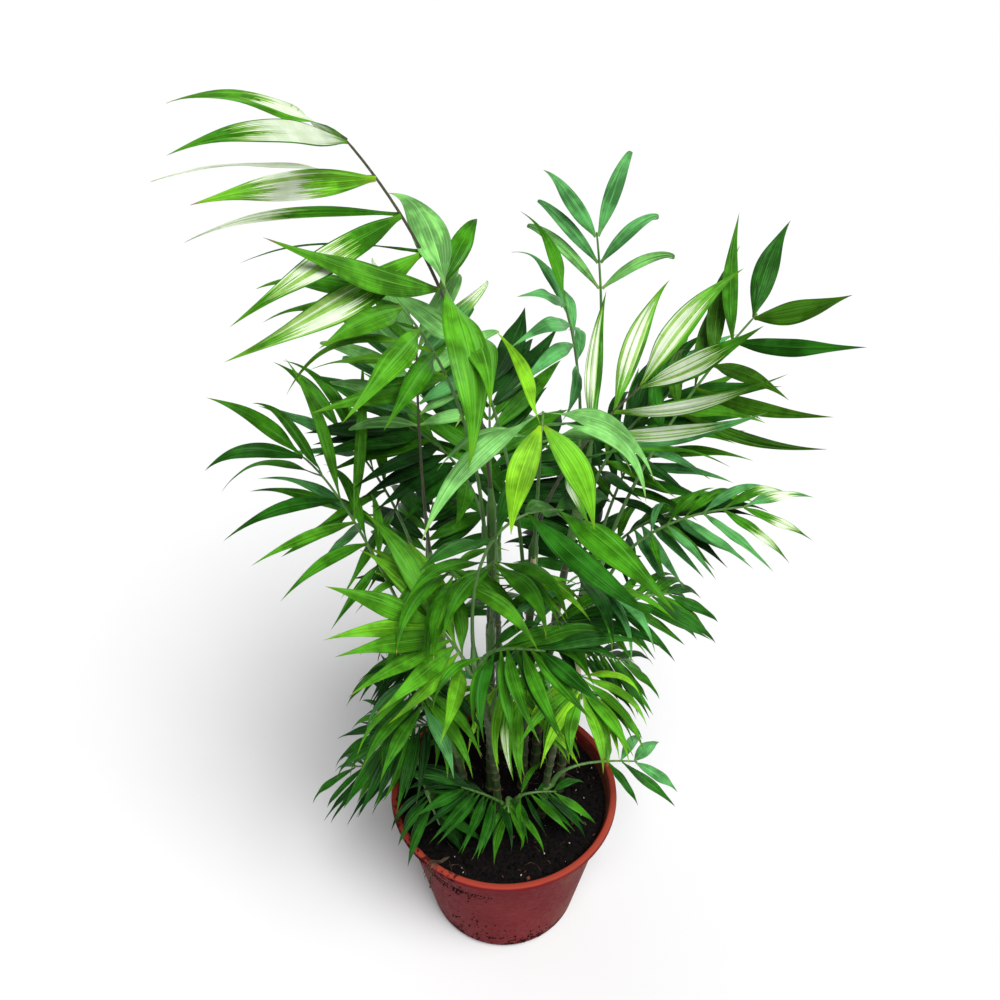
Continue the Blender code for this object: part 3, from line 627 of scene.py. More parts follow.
def caneFinish():
    look = caneLook
    finish, tree, shader = newFinish("caneSkin", roughness=0.5, specular=0.4)
    place = node(tree, "TexCoord").outputs["Object"]
    fibres = stretchedCloud(tree, place, (520, 520, 60), 4, 0.65)
    wide = cloud(tree, place, 60, 3)
    colour = mixed(tree, spread(tree, fibres, 0.32, 0.7), look["dark"], look["green"])
    colour = mixed(tree, spread(tree, wide, 0.5, 0.72, 0, 0.7), colour, look["grey"])
    colourTo(tree, shader, colour)
    tree.links.new(spread(tree, fibres, 0.3, 0.7, 0.38, 0.6), shader.inputs["Roughness"])
    bumpTo(tree, shader, fibres, 0.5, 0.25)
    return finish


def buildCanes():
    look = caneLook
    stems, scars = newHeap(), newHeap()
    for name, row in caneRows.items():
        rng = random.Random("rings of " + name)
        line = caneLine(row)
        long = row.height - soilTop
        rings, at = [], rng.uniform(3, 8)
        while at < long - 4:
            rings.append(at)
            at += look["ringGap"] * rng.uniform(0.7, 1.2) * (1.1 - 0.4 * at / long)
        rings = np.array(rings)
        heights = np.arange(-look["sunk"], long, look["step"])
        heights = np.append(heights[heights < long - 0.3], long)
        middles = onCane(line, heights / long)
        middles[heights < 0, 2] += heights[heights < 0]
        radii = []
        for h in heights:
            off = h - rings
            swell = look["ringSwell"] * np.exp(-((off / 1.3) ** 2)).max(initial=0)
            neck = look["ringNeck"] * np.exp(-(((off - 2.6) / 1.5) ** 2)).max(initial=0)
            end = 0.35 if h > long - 0.8 else 0.0
            radii.append(caneRadius(row, max(h, 0) / long) + swell - neck - end)
        phase = rng.uniform(0, 6)
        tube(stems, middles, radii, look["sides"],
             lambda k, angles: look["fibre"] * np.sin(angles * 5 + phase + k * 0.05))
        for ring in rings:
            half, flat = look["scarHalf"], look["scarFlat"]
            near = np.array([ring - half, ring - flat, ring + flat, ring + half])
            wide = caneRadius(row, ring / long) + look["ringSwell"]
            edge, crest = wide - look["scarSunk"], wide + look["scarOut"]
            tube(scars, onCane(line, near / long), [edge, crest, crest, edge], look["sides"])
    pieceFrom("caneStems", stems, caneFinish(), "cane", list(caneRows))
    pieceFrom("caneScars", scars,
              soilCrumbFinish("ringScar", look["scar"], [c * 1.5 for c in look["scar"]], 300.0), "cane")


# The fronds: the rule that the solids grow by, then finer leaflets on it

rodRule = {"petioleHalf": 1.5, "ribHalf": 0.7, "offCane": 1.2, "leanOut": 0.05, "pastLast": 0.8}
leafletRule = {
    "seat": 0.055, "spacing": 0.22, "mostLeafy": 0.72, "lowest": 0.70, "swell": 0.44, "swellFrom": 0.05,
    "swellOver": 0.7, "lastLack": 0.14, "width": 0.16, "broader": 0.35, "thickness": 0.011, "angleLow": 68,
    "wander": 5, "droopLate": 1.4, "droopLow": 1.6, "droopLess": 1.2, "peak": 0.72, "fullness": 0.8,
    "seed": 31, "lineSteps": 20, "sections": (0.40, 0.74),
    "strays": ((0, 1.0), (12, 1.0), (-12, 1.0), (24, 0.95), (-24, 0.95), (36, 0.85), (0, 0.7)),
}
roomRule = {
    "clear": 5.0, "samples": 60, "atFoot": 4, "rounds": 80, "push": 0.6, "leastBend": 0.12,
    "rodRings": 14, "rodGrow": 0.1, "leafGrow": 0.3,
}


def frond(cane, at, bearing, reach, height, pairs, leaf, fold=10, roll=0, lift=0.5, droop=0.5, spread=30, broad=1.0):
    return SimpleNamespace(**locals())


# Each row: the cane and how far up it, where the rib's tip is (bearing, reach, height), pairs of leaflets,
# the longest leaflet, how far the rows fold down and the rib's roll, then the arch, droop, last angle and breadth
frondRows = {
    "upper_frond_1": frond("cane_2", 1.00, 180, 77, 638, 5, 100, 75, lift=0.62, droop=0.2, spread=35, broad=0.85),
    "upper_frond_2": frond("cane_2", 0.90, 210, 61, 566, 4, 82, 40, lift=0.62, droop=0.6, spread=45),
    "upper_frond_3": frond("cane_1", 1.00, 149, 58, 511, 5, 68, lift=0.45, droop=0.8),
    "upper_frond_4": frond("cane_3", 0.94, 282, 82, 525, 4, 78, 15, lift=1.10, droop=1.5, spread=25, broad=1.2),
    "upper_frond_5": frond("cane_3", 1.00, 345, 76, 512, 4, 92, 0, droop=0.3, spread=24, broad=0.9),
    "upper_frond_6": frond("cane_7", 1.00, 295, 71, 462, 3, 96, 10, lift=1.30, droop=0.3, spread=18, broad=1.2),
    "upper_frond_7": frond("cane_4", 1.00, 57, 96, 547, 3, 70, -10, droop=0.7, broad=0.65),
    "upper_frond_8": frond("cane_4", 0.94, 56, 60, 520, 4, 66, droop=0.9),
    "upper_frond_9": frond("cane_5", 1.00, 12, 142, 524, 6, 78, droop=0.3, spread=42, broad=0.9),
    "upper_frond_10": frond("cane_10", 1.00, 95, 105, 430, 5, 76, 20, lift=0.7),
    "upper_frond_11": frond("cane_4", 0.86, 30, 118, 450, 5, 76, 10, lift=0.6),
    "upper_frond_12": frond("cane_10", 0.93, 140, 90, 430, 5, 76, 15, lift=0.6),
    "middle_frond_1": frond("cane_6", 1.00, 185, 117, 457, 6, 82, 5, lift=0.85, spread=36, broad=0.7),
    "middle_frond_2": frond("cane_7", 0.93, 234, 75, 378, 4, 84, 5, spread=30),
    "middle_frond_3": frond("cane_5", 0.90, 0, 145, 409, 6, 55, 15, lift=0.6, broad=0.75),
    "middle_frond_4": frond("cane_1", 0.90, 160, 64, 305, 3, 64, 10, lift=0.3),
    "middle_frond_5": frond("cane_7", 0.97, 283, 97, 386, 5, 64, 10, lift=0.55, droop=0.7),
    "middle_frond_6": frond("cane_8", 1.00, 355, 105, 345, 5, 52, 20, lift=0.8, droop=0.7),
    "middle_frond_7": frond("cane_11", 1.00, 150, 120, 420, 5, 76, 15, lift=0.6),
    "middle_frond_8": frond("cane_11", 0.90, 165, 105, 380, 5, 70, 15, lift=0.6),
    "middle_frond_9": frond("cane_12", 1.00, 40, 130, 420, 5, 76, 15, lift=0.6),
    "middle_frond_10": frond("cane_12", 0.90, 18, 118, 370, 5, 66, 15, lift=0.6),
    "middle_frond_11": frond("cane_10", 0.85, 75, 115, 370, 5, 76, 20, lift=0.7),
    "middle_frond_12": frond("cane_12", 0.80, 70, 120, 320, 5, 70, 20, lift=0.7),
    "middle_frond_13": frond("cane_11", 0.78, 115, 120, 320, 5, 70, 20, lift=0.7),
    "middle_frond_14": frond("cane_8", 0.88, 310, 74, 300, 6, 60, 20),
    "middle_frond_15": frond("cane_6", 0.88, 232, 82, 300, 6, 62, 20),
    "upper_frond_13": frond("cane_3", 0.86, 215, 38, 572, 3, 94, 0, lift=0.6, droop=1.0, spread=45, broad=1.2),
    "middle_frond_16": frond("cane_2", 0.62, 262, 45, 402, 5, 76, 15, lift=0.8),
    "middle_frond_17": frond("cane_3", 0.55, 318, 52, 345, 5, 70, 15, lift=0.8),
    "middle_frond_18": frond("cane_5", 0.72, 305, 62, 395, 6, 76, 15, lift=0.7),
    "middle_frond_19": frond("cane_1", 0.76, 245, 62, 400, 6, 74, 15, lift=0.7),
    "middle_frond_20": frond("cane_2", 0.36, 285, 42, 275, 6, 62, 20, lift=0.8),
    "lower_frond_1": frond("cane_9", 1.00, 184, 110, 166, 7, 54, 15, broad=0.8),
    "lower_frond_2": frond("cane_9", 0.86, 150, 80, 212, 6, 50, 15, broad=0.85),
    "lower_frond_3": frond("cane_8", 0.20, 0, 98, 162, 3, 52, 0, droop=0.3),
    "lower_frond_4": frond("cane_8", 0.62, 20, 84, 198, 5, 54, 15, lift=0.6),
    "lower_frond_5": frond("cane_13", 1.00, 275, 40, 155, 4, 44, 10, lift=0.8),
    "lower_frond_6": frond("cane_13", 0.90, 325, 46, 162, 4, 44, 10, lift=0.8),
    "lower_frond_7": frond("cane_9", 0.92, 226, 66, 152, 5, 50, 15, lift=0.8),
    "lower_frond_8": frond("cane_11", 0.55, 150, 100, 225, 6, 58, 20, lift=0.6),
    "lower_frond_9": frond("cane_12", 0.50, 30, 102, 215, 6, 56, 20, lift=0.6),
    "lower_frond_10": frond("cane_10", 0.50, 95, 112, 225, 6, 60, 20, lift=0.6),
    "lower_frond_11": frond("cane_6", 0.55, 205, 92, 232, 6, 58, 15, lift=0.6),
    "lower_frond_12": frond("cane_13", 0.80, 235, 52, 190, 5, 54, 15, lift=0.6),
}

# Leaflets that stand out on the plant, by pair (0 is the lowest) and side (1 is to the right, seen from the cane):
# length as a share of the frond's longest, width as a share of the rule's, angle to the rib, fold and droop
ownLeaflets = {
    "upper_frond_1": {
        (4, 1): (0.89, 0.7, 27, 74, 0.6), (4, -1): (1.25, 1.1, 53, -1, 0.4), (3, 1): (1.21, 0.4, 57, 74, 0.3),
        (3, -1): (0.9, 1.1, 50, 54, 0.4), (2, 1): (1.28, 0.4, 62, 74, 0.8), (2, -1): (1.28, 1.1, 71, 22, 0.3),
        (1, 1): (1.03, 0.45, 67, 74, 0.4), (1, -1): (1.28, 1.2, 77, 32, -0.2), (0, 1): (0.6, 1, 63, -35, 0.9),
        (0, -1): (1.28, 1.15, 49, 23, -0.3),
    },
    "upper_frond_2": {
        (1, 1): (1.1, 0.9, 37, 60, 1.8), (0, 1): (1.01, 1, 75, 32, 0.6), (0, -1): (1.22, 1.1, 49, 65, 0.2),
    },
    "upper_frond_4": {
        (3, 1): (0.72, 1, 17, -9, 1.1), (3, -1): (0.75, 1, 44, 10, 1.8), (2, 1): (1.17, 1.15, 64, 35, 1),
        (2, -1): (1.01, 1, 103, 15, 1.6), (1, 1): (0.74, 0.9, 39, -60, -0.2),
    },
    "upper_frond_5": {
        (3, 1): (0.86, 1, 24, 11, -0.2), (3, -1): (0.89, 1.1, 21, -17, 0.4), (2, 1): (1.27, 0.8, 41, 17, -0.3),
        (2, -1): (0.92, 1.1, 42, -20, 0.4), (1, 1): (1.18, 1, 43, 43, -0.3), (1, -1): (1, 1, 57, -19, 0.2),
        (0, -1): (1.08, 1, 55, 74, 0.9),
    },
    "upper_frond_6": {
        (2, 1): (0.96, 1, 93, -55, 0.7), (1, 1): (0.96, 1, 79, 6, -0.2), (0, 1): (0.87, 0.9, 82, -40, 0.2),
    },
    "upper_frond_7": {
        (2, 1): (0.92, 1, 24, 19, 1), (2, -1): (0.74, 1.1, 26, 0, 0.3), (1, 1): (0.8, 1, 41, 3, 1.2),
        (1, -1): (0.89, 1, 32, 15, 0.7), (0, 1): (0.86, 1.1, 49, -10, 1.2), (0, -1): (1.11, 1.1, 36, 24, 1.1),
    },
    "upper_frond_9": {
        (5, 1): (0.72, 1, 40, 20, -0.3), (5, -1): (0.84, 1.15, 43, 6, -0.2), (4, 1): (0.98, 0.85, 52, 21, -0.1),
        (4, -1): (1.05, 0.85, 58, -2, -0.3), (3, 1): (0.78, 0.9, 60, -4, 0.5), (2, 1): (1.06, 0.9, 64, 30, -0.2),
        (1, 1): (1.28, 0.8, 68, 22, -0.3),
    },
    "upper_frond_13": {
        (2, -1): (1.09, 1, 98, -16, 2.1), (1, -1): (0.85, 1, 79, -8, 0.7), (0, 1): (0.75, 1.2, 60, 17, 0.3),
    },
    "middle_frond_1": {
        (5, 1): (0.76, 1, 5, 11, 0.2), (5, -1): (0.74, 1, 20, 27, 1.2), (4, 1): (1.13, 1, 67, 60, 1.1),
        (4, -1): (1.28, 1, 29, -52, 0.7), (3, 1): (1.12, 1, 35, -3, 0.5), (3, -1): (1.04, 1, 43, 20, 0.9),
        (2, 1): (1.28, 1, 43, -27, 0.7), (2, -1): (1.02, 1, 51, 19, 0.6), (1, -1): (0.88, 1, 53, 22, 0.9),
        (0, -1): (0.8, 1, 67, 6, 0.5),
    },
}


def rodEnds(row):  # start, middle control and tip of the curve that petiole and rib follow, and its way out
    stem = caneRows[row.cane]
    line = caneLine(stem)
    place = row.at * (len(line) - 1)
    below = min(int(place), len(line) - 2)
    spot = line[below] + (line[below + 1] - line[below]) * (place - below)
    along = unit(line[below + 1] - line[below])
    tip = outward(row.bearing) * row.reach + up * row.height
    if row.at == 1.0:
        start = spot + along * soilLook["gap"]
        side = unit((tip - spot) * [1, 1, 0])
    else:
        side = (tip - spot) * [1, 1, 0]
        side = unit(side - along * np.dot(side, along))
        start = spot + side * (caneRadius(stem, row.at) + rodRule["petioleHalf"] * rodRule["offCane"]
                               + soilLook["gap"])
    length = np.linalg.norm(tip - start)
    control = start + (along + side * rodRule["leanOut"]) * length * row.lift
    return start, control, tip, side


def rodPoints(ends, t):
    start, control, tip = ends[:3]
    t = np.asarray(t, float)[:, None]
    return start * (1 - t) ** 2 + control * 2 * t * (1 - t) + tip * t * t


def rodLengths(ends):
    t = np.linspace(0, 1, roomRule["samples"])
    steps = np.linalg.norm(np.diff(rodPoints(ends, t), axis=0), axis=1)
    return t, np.concatenate([[0.0], np.cumsum(steps)])


def keepRodsApart(ends):  # moves the curves' middle controls until no rod runs into another or a cane
    rule = roomRule
    shares = np.linspace(0, 1, rule["samples"])
    bend = np.maximum(2 * shares * (1 - shares), rule["leastBend"])
    places = np.linspace(0, caneLook["points"] - 1, rule["samples"])
    canes = {name: onCane(caneLine(row), places / (caneLook["points"] - 1)) for name, row in caneRows.items()}
    names = list(ends)
    for _ in range(rule["rounds"]):
        lines = {name: rodPoints(ends[name], shares) for name in names}
        push = {name: np.zeros(3) for name in names}
        worst = 0.0
        for i, name in enumerate(names):
            others = [(other, lines[other], True) for other in names[i + 1 :]]
            others += [(c, line, False) for c, line in canes.items() if c != frondRows[name].cane]
            for other, line, moves in others:
                apart = lines[name][:, None] - line[None]
                far = np.sqrt((apart**2).sum(2))
                far[: rule["atFoot"]] += rule["clear"]
                if moves:
                    far[:, : rule["atFoot"]] += rule["clear"]
                a, b = np.unravel_index(far.argmin(), far.shape)
                lack = rule["clear"] - far[a, b]
                if lack <= 0:
                    continue
                worst = max(worst, lack)
                way = unit(apart[a, b] + 1e-6) * lack * rule["push"]
                push[name] += way / bend[a]
                if moves:
                    push[other] -= way / bend[b]
        for name in names:
            start, control, tip, side = ends[name]
            ends[name] = (start, control + push[name], tip, side)
        if worst == 0.0:
            break


def rodFrame(ends, share, roll):  # place at a share of the rod's length, its way, right and upper face
    start, control, tip, side = ends
    steps, lengths = rodLengths(ends)
    t = np.interp(share * lengths[-1], lengths, steps)
    at = rodPoints(ends, [t])[0]
    along = unit((control - start) * (1 - t) + (tip - control) * t)
    right = np.cross(side, up)
    right = unit(right - along * np.dot(right, along))
    above = np.cross(right, along)
    angle = math.radians(roll) * share
    return at, along, turned(right, along, angle), turned(above, along, angle)


def rodHalf(share):
    return rodRule["petioleHalf"] + (rodRule["ribHalf"] - rodRule["petioleHalf"]) * share


def rodRing(ends, share, roll, grow=0.0):
    at, _, right, above = rodFrame(ends, share, roll)
    half = rodHalf(share) + grow
    return [at - right * half - above * half, at + right * half - above * half,
            at + right * half + above * half, at - right * half + above * half]


def leafletSeats(row, ends):
    rule = leafletRule
    long = rodLengths(ends)[1][-1]
    spacing = min(row.leaf * rule["spacing"], long * rule["mostLeafy"] / (row.pairs - 0.5))
    seat = row.leaf * rule["seat"]
    end = seat + rodRule["pastLast"]
    firsts = [1 - ((row.pairs - 1 - i) * spacing + end) / long for i in range(row.pairs)]
    return [(first, first + seat / long) for first in firsts]


def leafletSizes(row, i, rng):  # length, half width, angle to the rib, fold and droop, lowest pair first
    rule = leafletRule
    share = i / max(row.pairs - 1, 1)
    swell = rule["swell"] * math.sin(math.pi * (rule["swellFrom"] + rule["swellOver"] * share))
    length = row.leaf * (rule["lowest"] + swell - rule["lastLack"] * share) * rng.uniform(0.92, 1.06)
    width = row.leaf * row.broad * rule["width"] * (0.9 + rule["broader"] * share) * rng.uniform(0.9, 1.1)
    angle = rule["angleLow"] + (row.spread - rule["angleLow"]) * share
    fold = row.fold * min(1, 6 * share - 0.5)
    droop = row.droop * (rule["droopLow"] - rule["droopLess"] * share) * rng.uniform(0.7, 1.3)
    return length, width / 2, angle, fold, droop


def leafletHabit(name, row, i, side, rng):  # the leaflet's own sizes, or the rule's with its wander, and its twist
    length, halfWidth, angle, fold, droop = leafletSizes(row, i, rng)
    wander = [rng.uniform(-1, 1) * leafletRule["wander"] for _ in range(3)]
    own = ownLeaflets.get(name, {}).get((i, side))
    if own:
        share, broader, angle, fold, droop = own
        return row.leaf * share, halfWidth * broader, angle, fold, droop, wander[2] * 2
    return length, halfWidth, angle + wander[0], fold + wander[1], droop, wander[2] * 2


def leafletLine(place, side, length, angle, fold, droop, twist):
    at, along, right, above = place
    a, f = math.radians(angle), math.radians(fold)
    way = along * math.cos(a) + (right * side * math.cos(f) - above * math.sin(f)) * math.sin(a)
    point, across, points = np.array(at), along, []
    steps = leafletRule["lineSteps"]
    for k in range(steps + 1):
        s = k / steps
        now = unit(way - up * droop * s ** leafletRule["droopLate"])
        across = unit(across - now * np.dot(across, now))
        flat = turned(across, now, math.radians(twist) * s * side)
        points.append((point.copy(), flat, side * np.cross(now, flat)))
        point += now * length / steps
    return points


def testShape(line, seat, halfWidth, thickness, grow):  # the solid's own leaflet, a little grown
    rule = leafletRule
    rings = [seat]
    for share in rule["sections"]:
        at, across, above = line[round(share * rule["lineSteps"])]
        swell = max(0.0, math.sin(math.pi * min(1, share ** rule["peak"])) ** rule["fullness"])
        wide, high = halfWidth * swell + grow, thickness / 2 + grow
        rings.append([at - across * wide - above * high, at - across * wide + above * high,
                      at + across * wide + above * high, at + across * wide - above * high])
    points = [p for ring in rings for p in ring] + [line[-1][0]]
    last = 4 * len(rings) - 4
    faces = boxWalls(len(rings)) + [(last + k, last + (k + 1) % 4, last + 4) for k in range(4)]
    return BVHTree.FromPolygons([tuple(p) for p in points], faces), np.array(points)


def isFree(taken, tree, points, ignore=()):
    low, high = points.min(0), points.max(0)
    for owner, other, otherLow, otherHigh in taken:
        if owner in ignore or (low > otherHigh).any() or (high < otherLow).any():
            continue
        if tree.overlap(other):
            return False
    return True


def solidTree(name):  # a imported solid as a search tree
    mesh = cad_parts[name].data
    points = np.array([v.co for v in mesh.vertices]) / mm
    tree = BVHTree.FromPolygons([tuple(p) for p in points], [tuple(f.vertices) for f in mesh.polygons])
    return tree, points


def rodTree(ends, roll):
    rule = roomRule
    rings = [rodRing(ends, share, roll, rule["rodGrow"]) for share in np.linspace(0, 1, rule["rodRings"])]
    points = [p for ring in rings for p in ring]
    faces = [(0, 1, 2, 3), tuple(len(points) - 1 - k for k in range(4))] + boxWalls(len(rings))
    return BVHTree.FromPolygons([tuple(p) for p in points], faces), np.array(points)


def growLeaflets():  # {frond: (ends, [leaflets that find room])}, as in the solids
    ends = {name: rodEnds(row) for name, row in frondRows.items()}
    keepRodsApart(ends)
    taken = []

    def take(owner, tree, points):
        taken.append((owner, tree, points.min(0), points.max(0)))

    for name in ("pot", "soil", *caneRows):
        take(name, *solidTree(name))
    for name, row in frondRows.items():
        take(name + " rib", *rodTree(ends[name], row.roll))
    grown = {}
    for name, row in frondRows.items():
        rng = random.Random(f"{leafletRule['seed']} {name}")
        kept = []
        for i, (low, high) in enumerate(leafletSeats(row, ends[name])):
            for side in (1, -1):
                length, halfWidth, angle, fold, droop, twist = leafletHabit(name, row, i, side, rng)
                first, last = rodRing(ends[name], low, row.roll), rodRing(ends[name], high, row.roll)
                lowEdge, highEdge = (1, 2) if side > 0 else (0, 3)
                seat = [first[lowEdge], first[highEdge], last[highEdge], last[lowEdge]]
                at, along, right, above = rodFrame(ends[name], (low + high) / 2, row.roll)
                place = (at + right * side * rodHalf(low), along, right, above)
                thickness = row.leaf * leafletRule["thickness"]
                for stray, shorter in leafletRule["strays"]:
                    line = leafletLine(place, side, length * shorter, angle, fold + stray, droop, twist)
                    tree, points = testShape(line, seat, halfWidth, thickness, roomRule["leafGrow"])
                    if isFree(taken, tree, points, (name + " rib", f"{name} {i} {-side}")):
                        break
                else:
                    continue
                take(f"{name} {i} {side}", tree, points)
                kept.append(SimpleNamespace(
                    pair=i, side=side, line=line, length=length * shorter, angle=angle, fold=fold + stray,
                    droop=droop, halfWidth=halfWidth, seatHalf=row.leaf * leafletRule["seat"] / 2))
        grown[name] = (ends[name], kept)
    return grown


betweenLook = {"length": 0.92, "width": 0.84, "fold": 16, "droop": 0.2}  # shares of both neighbours, and more of each


def leafletsBetween(name, ends, kept):  # a further, narrower leaflet between each two on a side of the rib
    look = betweenLook
    row = frondRows[name]
    seats = leafletSeats(row, ends)
    more = []
    for side in (1, -1):
        mine = [leaflet for leaflet in kept if leaflet.side == side]
        for below, beyond in zip(mine, mine[1:]):
            share = (sum(seats[below.pair]) + sum(seats[beyond.pair])) / 4
            at, along, right, above = rodFrame(ends, share, row.roll)
            length, angle, fold, droop = (
                (getattr(below, key) + getattr(beyond, key)) / 2 for key in ("length", "angle", "fold", "droop"))
            place = (at + right * side * rodHalf(share), along, right, above)
            length *= look["length"]
            line = leafletLine(place, side, length, angle, fold + look["fold"], droop + look["droop"], 0)
            more.append(SimpleNamespace(
                pair=(below.pair + beyond.pair) / 2, side=side, line=line, length=length,
                halfWidth=(below.halfWidth + beyond.halfWidth) / 2 * look["width"], seatHalf=below.seatHalf))
    return more


# How each frond looks: the greens that its leaflets are dealt, and its rib

leafTints = {  # greens: base colour, and how glossy it is
    # deep and dark are partly the leaves' own darker green and partly painted shade
    "deep": ((0.004, 0.048, 0.001), 0.09),
    "dark": ((0.012, 0.098, 0.002), 0.08),
    "mid": ((0.036, 0.182, 0.003), 0.07),
    "leaf": ((0.060, 0.245, 0.007), 0.07),
    "fresh": ((0.105, 0.335, 0.010), 0.07),
    "lime": ((0.175, 0.450, 0.012), 0.07),
    # blue is partly the leaves' own green and partly a painted sheen
    "blue": ((0.072, 0.270, 0.070), 0.08),
    "pale": ((0.155, 0.410, 0.100), 0.08),
    "olive": ((0.028, 0.108, 0.001), 0.08),
}
# the lower fronds and those at the back are dealt mostly deep and dark, partly as painted shade
frondTints = {
    "upper_frond_1": "leaf mid fresh mid",
    "upper_frond_2": "fresh leaf mid",
    "upper_frond_3": "leaf pale blue",
    "upper_frond_4": "fresh pale lime",
    "upper_frond_5": "blue mid leaf",
    "upper_frond_6": "dark mid dark",
    "upper_frond_7": "blue pale blue",
    "upper_frond_8": "blue mid blue",
    "upper_frond_9": "olive mid dark",
    "upper_frond_10": "deep dark mid",
    "upper_frond_12": "dark deep mid",
    "upper_frond_13": "pale leaf",
    "middle_frond_1": "mid leaf mid dark",
    "middle_frond_7": "blue mid leaf",
    "middle_frond_8": "mid blue",
    "middle_frond_16": "fresh leaf mid",
    "middle_frond_19": "leaf mid",
    "middle_frond_2": "fresh leaf",
    "middle_frond_3": "mid blue",
    "middle_frond_4": "leaf mid",
    "middle_frond_5": "mid dark",
    "middle_frond_6": "dark mid",
    "middle_frond_11": "deep dark mid",
    "middle_frond_12": "dark deep",
    "middle_frond_13": "deep dark mid",
    "middle_frond_14": "fresh lime leaf",
    "middle_frond_20": "lime fresh leaf",
    "lower_frond_1": "deep dark",
    "lower_frond_2": "deep dark",
    "lower_frond_3": "dark blue",
    "lower_frond_5": "dark deep mid",
    "lower_frond_6": "dark deep mid",
    "lower_frond_7": "deep dark",
    "lower_frond_4": "mid dark",
    "lower_frond_8": "deep dark mid",
    "lower_frond_9": "dark deep mid",
    "lower_frond_10": "deep dark",
    "lower_frond_11": "dark deep mid",
    "lower_frond_12": "deep dark",
    "others": "mid dark leaf deep blue",
}
leafLook = {
    "rows": 24, "columns": 12,
    "widest": 0.80, "fullness": 1.08, "taper": 0.30, "taperFrom": 0.45, "foot": 0.5, "footEnd": 0.12,
    "slimmer": {  # width over the solid's, for a storey, a frond or a single leaflet
        "lower": 0.66, "middle": 0.72, "upper": 0.86,
        "upper_frond_1": 0.90, "upper_frond_4": 0.68, "upper_frond_5": 0.72, "upper_frond_6": 0.72,
        "upper_frond_7": 0.95, "upper_frond_9": 0.84, "middle_frond_1": 0.76, "middle_frond_2": 0.80,
        "middle_frond_3": 0.85, "middle_frond_20": 0.66, "middle_frond_14": 0.68, "middle_frond_15": 0.68,
        "middle_frond_7": 0.62, "middle_frond_8": 0.62, "lower_frond_3": 0.90, "lower_frond_1": 0.62,
        "upper_frond_10": 1.0, "upper_frond_12": 1.0, "middle_frond_11": 1.0, "middle_frond_12": 1.0,
        "middle_frond_13": 1.0, "lower_frond_10": 0.9,
        ("upper_frond_1", 4, 1): 1.5, ("upper_frond_1", 4, -1): 0.75,
    },
    "unfilled": (  # the fronds without a further leaflet between each two
        "upper_frond_1", "upper_frond_2", "upper_frond_4", "upper_frond_5", "upper_frond_6", "upper_frond_7",
        "upper_frond_8", "upper_frond_9", "upper_frond_13", "middle_frond_1", "middle_frond_3", "middle_frond_4",
        "middle_frond_7", "middle_frond_8", "lower_frond_1", "lower_frond_2", "lower_frond_3", "lower_frond_4",
    ),
    "roof": 10,  # degrees that each half slopes down from its midrib
    "pleat": 0.3, "thick": 0.42, "wave": 0.6, "bow": 0.02,
    "light": (0.0, -0.35, 0.8), "lightOut": 0.3, "ownLight": (0.0, -0.62, 0.62),  # where upper faces turn
    "turnMost": 75, "turnShare": 0.75, "turnBy": 0.35,
    "bend": (8, 46), "ownBend": (0, 24), "bendFrom": 0.25, "bendLate": 1.5,  # degrees that the end hangs over
    "hook": (70, 160), "hookFrom": 0.62, "hooked": ("upper_frond_7", "upper_frond_3"),
    "sweep": (-2, 16),  # degrees that the end swings towards the rib's tip
    "hangBelow": 0.6, "hangDown": 0.4,  # an end hangs partly towards its lower face, partly straight down
    "turnedAway": 130,  # degrees beyond which a blade's lower face may stay towards the light
    "ownSweep": 0.3,
    "brownTips": 0.22, "brownFrom": (0.945, 0.975),  # share of the leaflets with a dry tip, and where it starts
    "mostInPiece": 150000,  # triangles
}


def lerpRows(rows, shares):
    place = np.clip(shares, 0, 1) * (len(rows) - 1)
    below = np.minimum(place.astype(int), len(rows) - 2)
    part = (place - below)[..., None]
    return rows[below] * (1 - part) + rows[below + 1] * part


def bentLine(leaflet, bend, start, sweep):  # the rule's midline, with its end hung over and swung forward
    steps = 3 * leafletRule["lineSteps"]
    shares = np.linspace(0, 1, steps + 1)
    at, flat, above = (lerpRows(np.array([point[k] for point in leaflet.line]), shares) for k in range(3))
    bends = bend * ((shares - start).clip(0) / (1 - start)) ** leafLook["bendLate"]
    point, points, flats, aboves = at[0], [], [], []
    for k, share in enumerate(shares):
        after = min(k + 1, steps)
        way = at[after] - at[after - 1]
        step, way = np.linalg.norm(way), unit(way)
        down = -above[k] * leafLook["hangBelow"] - up * leafLook["hangDown"]
        down = unit(down - way * np.dot(down, way))
        over = np.cross(way, down)
        now, across, rise = (turned(v, over, bends[k]) for v in (way, flat[k], above[k]))
        aside = unit(np.cross(now, across))
        now, across = turned(now, aside, sweep * share), turned(across, aside, sweep * share)
        points.append(point)
        flats.append(across)
        aboves.append(rise)
        point = point + now * step
    return np.array(points), np.array(flats), np.array(aboves)


def turnToLight(at, flat, above, own):  # twists a blade so that its upper face looks towards the light
    look = leafLook
    middle = len(at) // 2
    way = unit(at[middle + 1] - at[middle - 1])
    light = np.array(look["ownLight"] if own else look["light"])
    if not own:
        light = light + unit(at[middle] * [1, 1, 0]) * look["lightOut"]
    light = light - way * np.dot(light, way)
    turn = math.atan2(np.dot(np.cross(above[middle], light), way), np.dot(above[middle], light))
    if abs(turn) > math.radians(look["turnedAway"]):  # its lower face already looks there, and stays
        turn -= math.copysign(math.pi, turn)
    most = math.radians(look["turnMost"])
    turn = min(max(turn * look["turnShare"], -most), most)
    for k in range(len(at)):
        share = min(1, k / (len(at) - 1) / look["turnBy"])
        now = unit(at[min(k + 1, len(at) - 1)] - at[max(k - 1, 0)])
        angle = turn * share * share * (3 - 2 * share)
        flat[k], above[k] = turned(flat[k], now, angle), turned(above[k], now, angle)


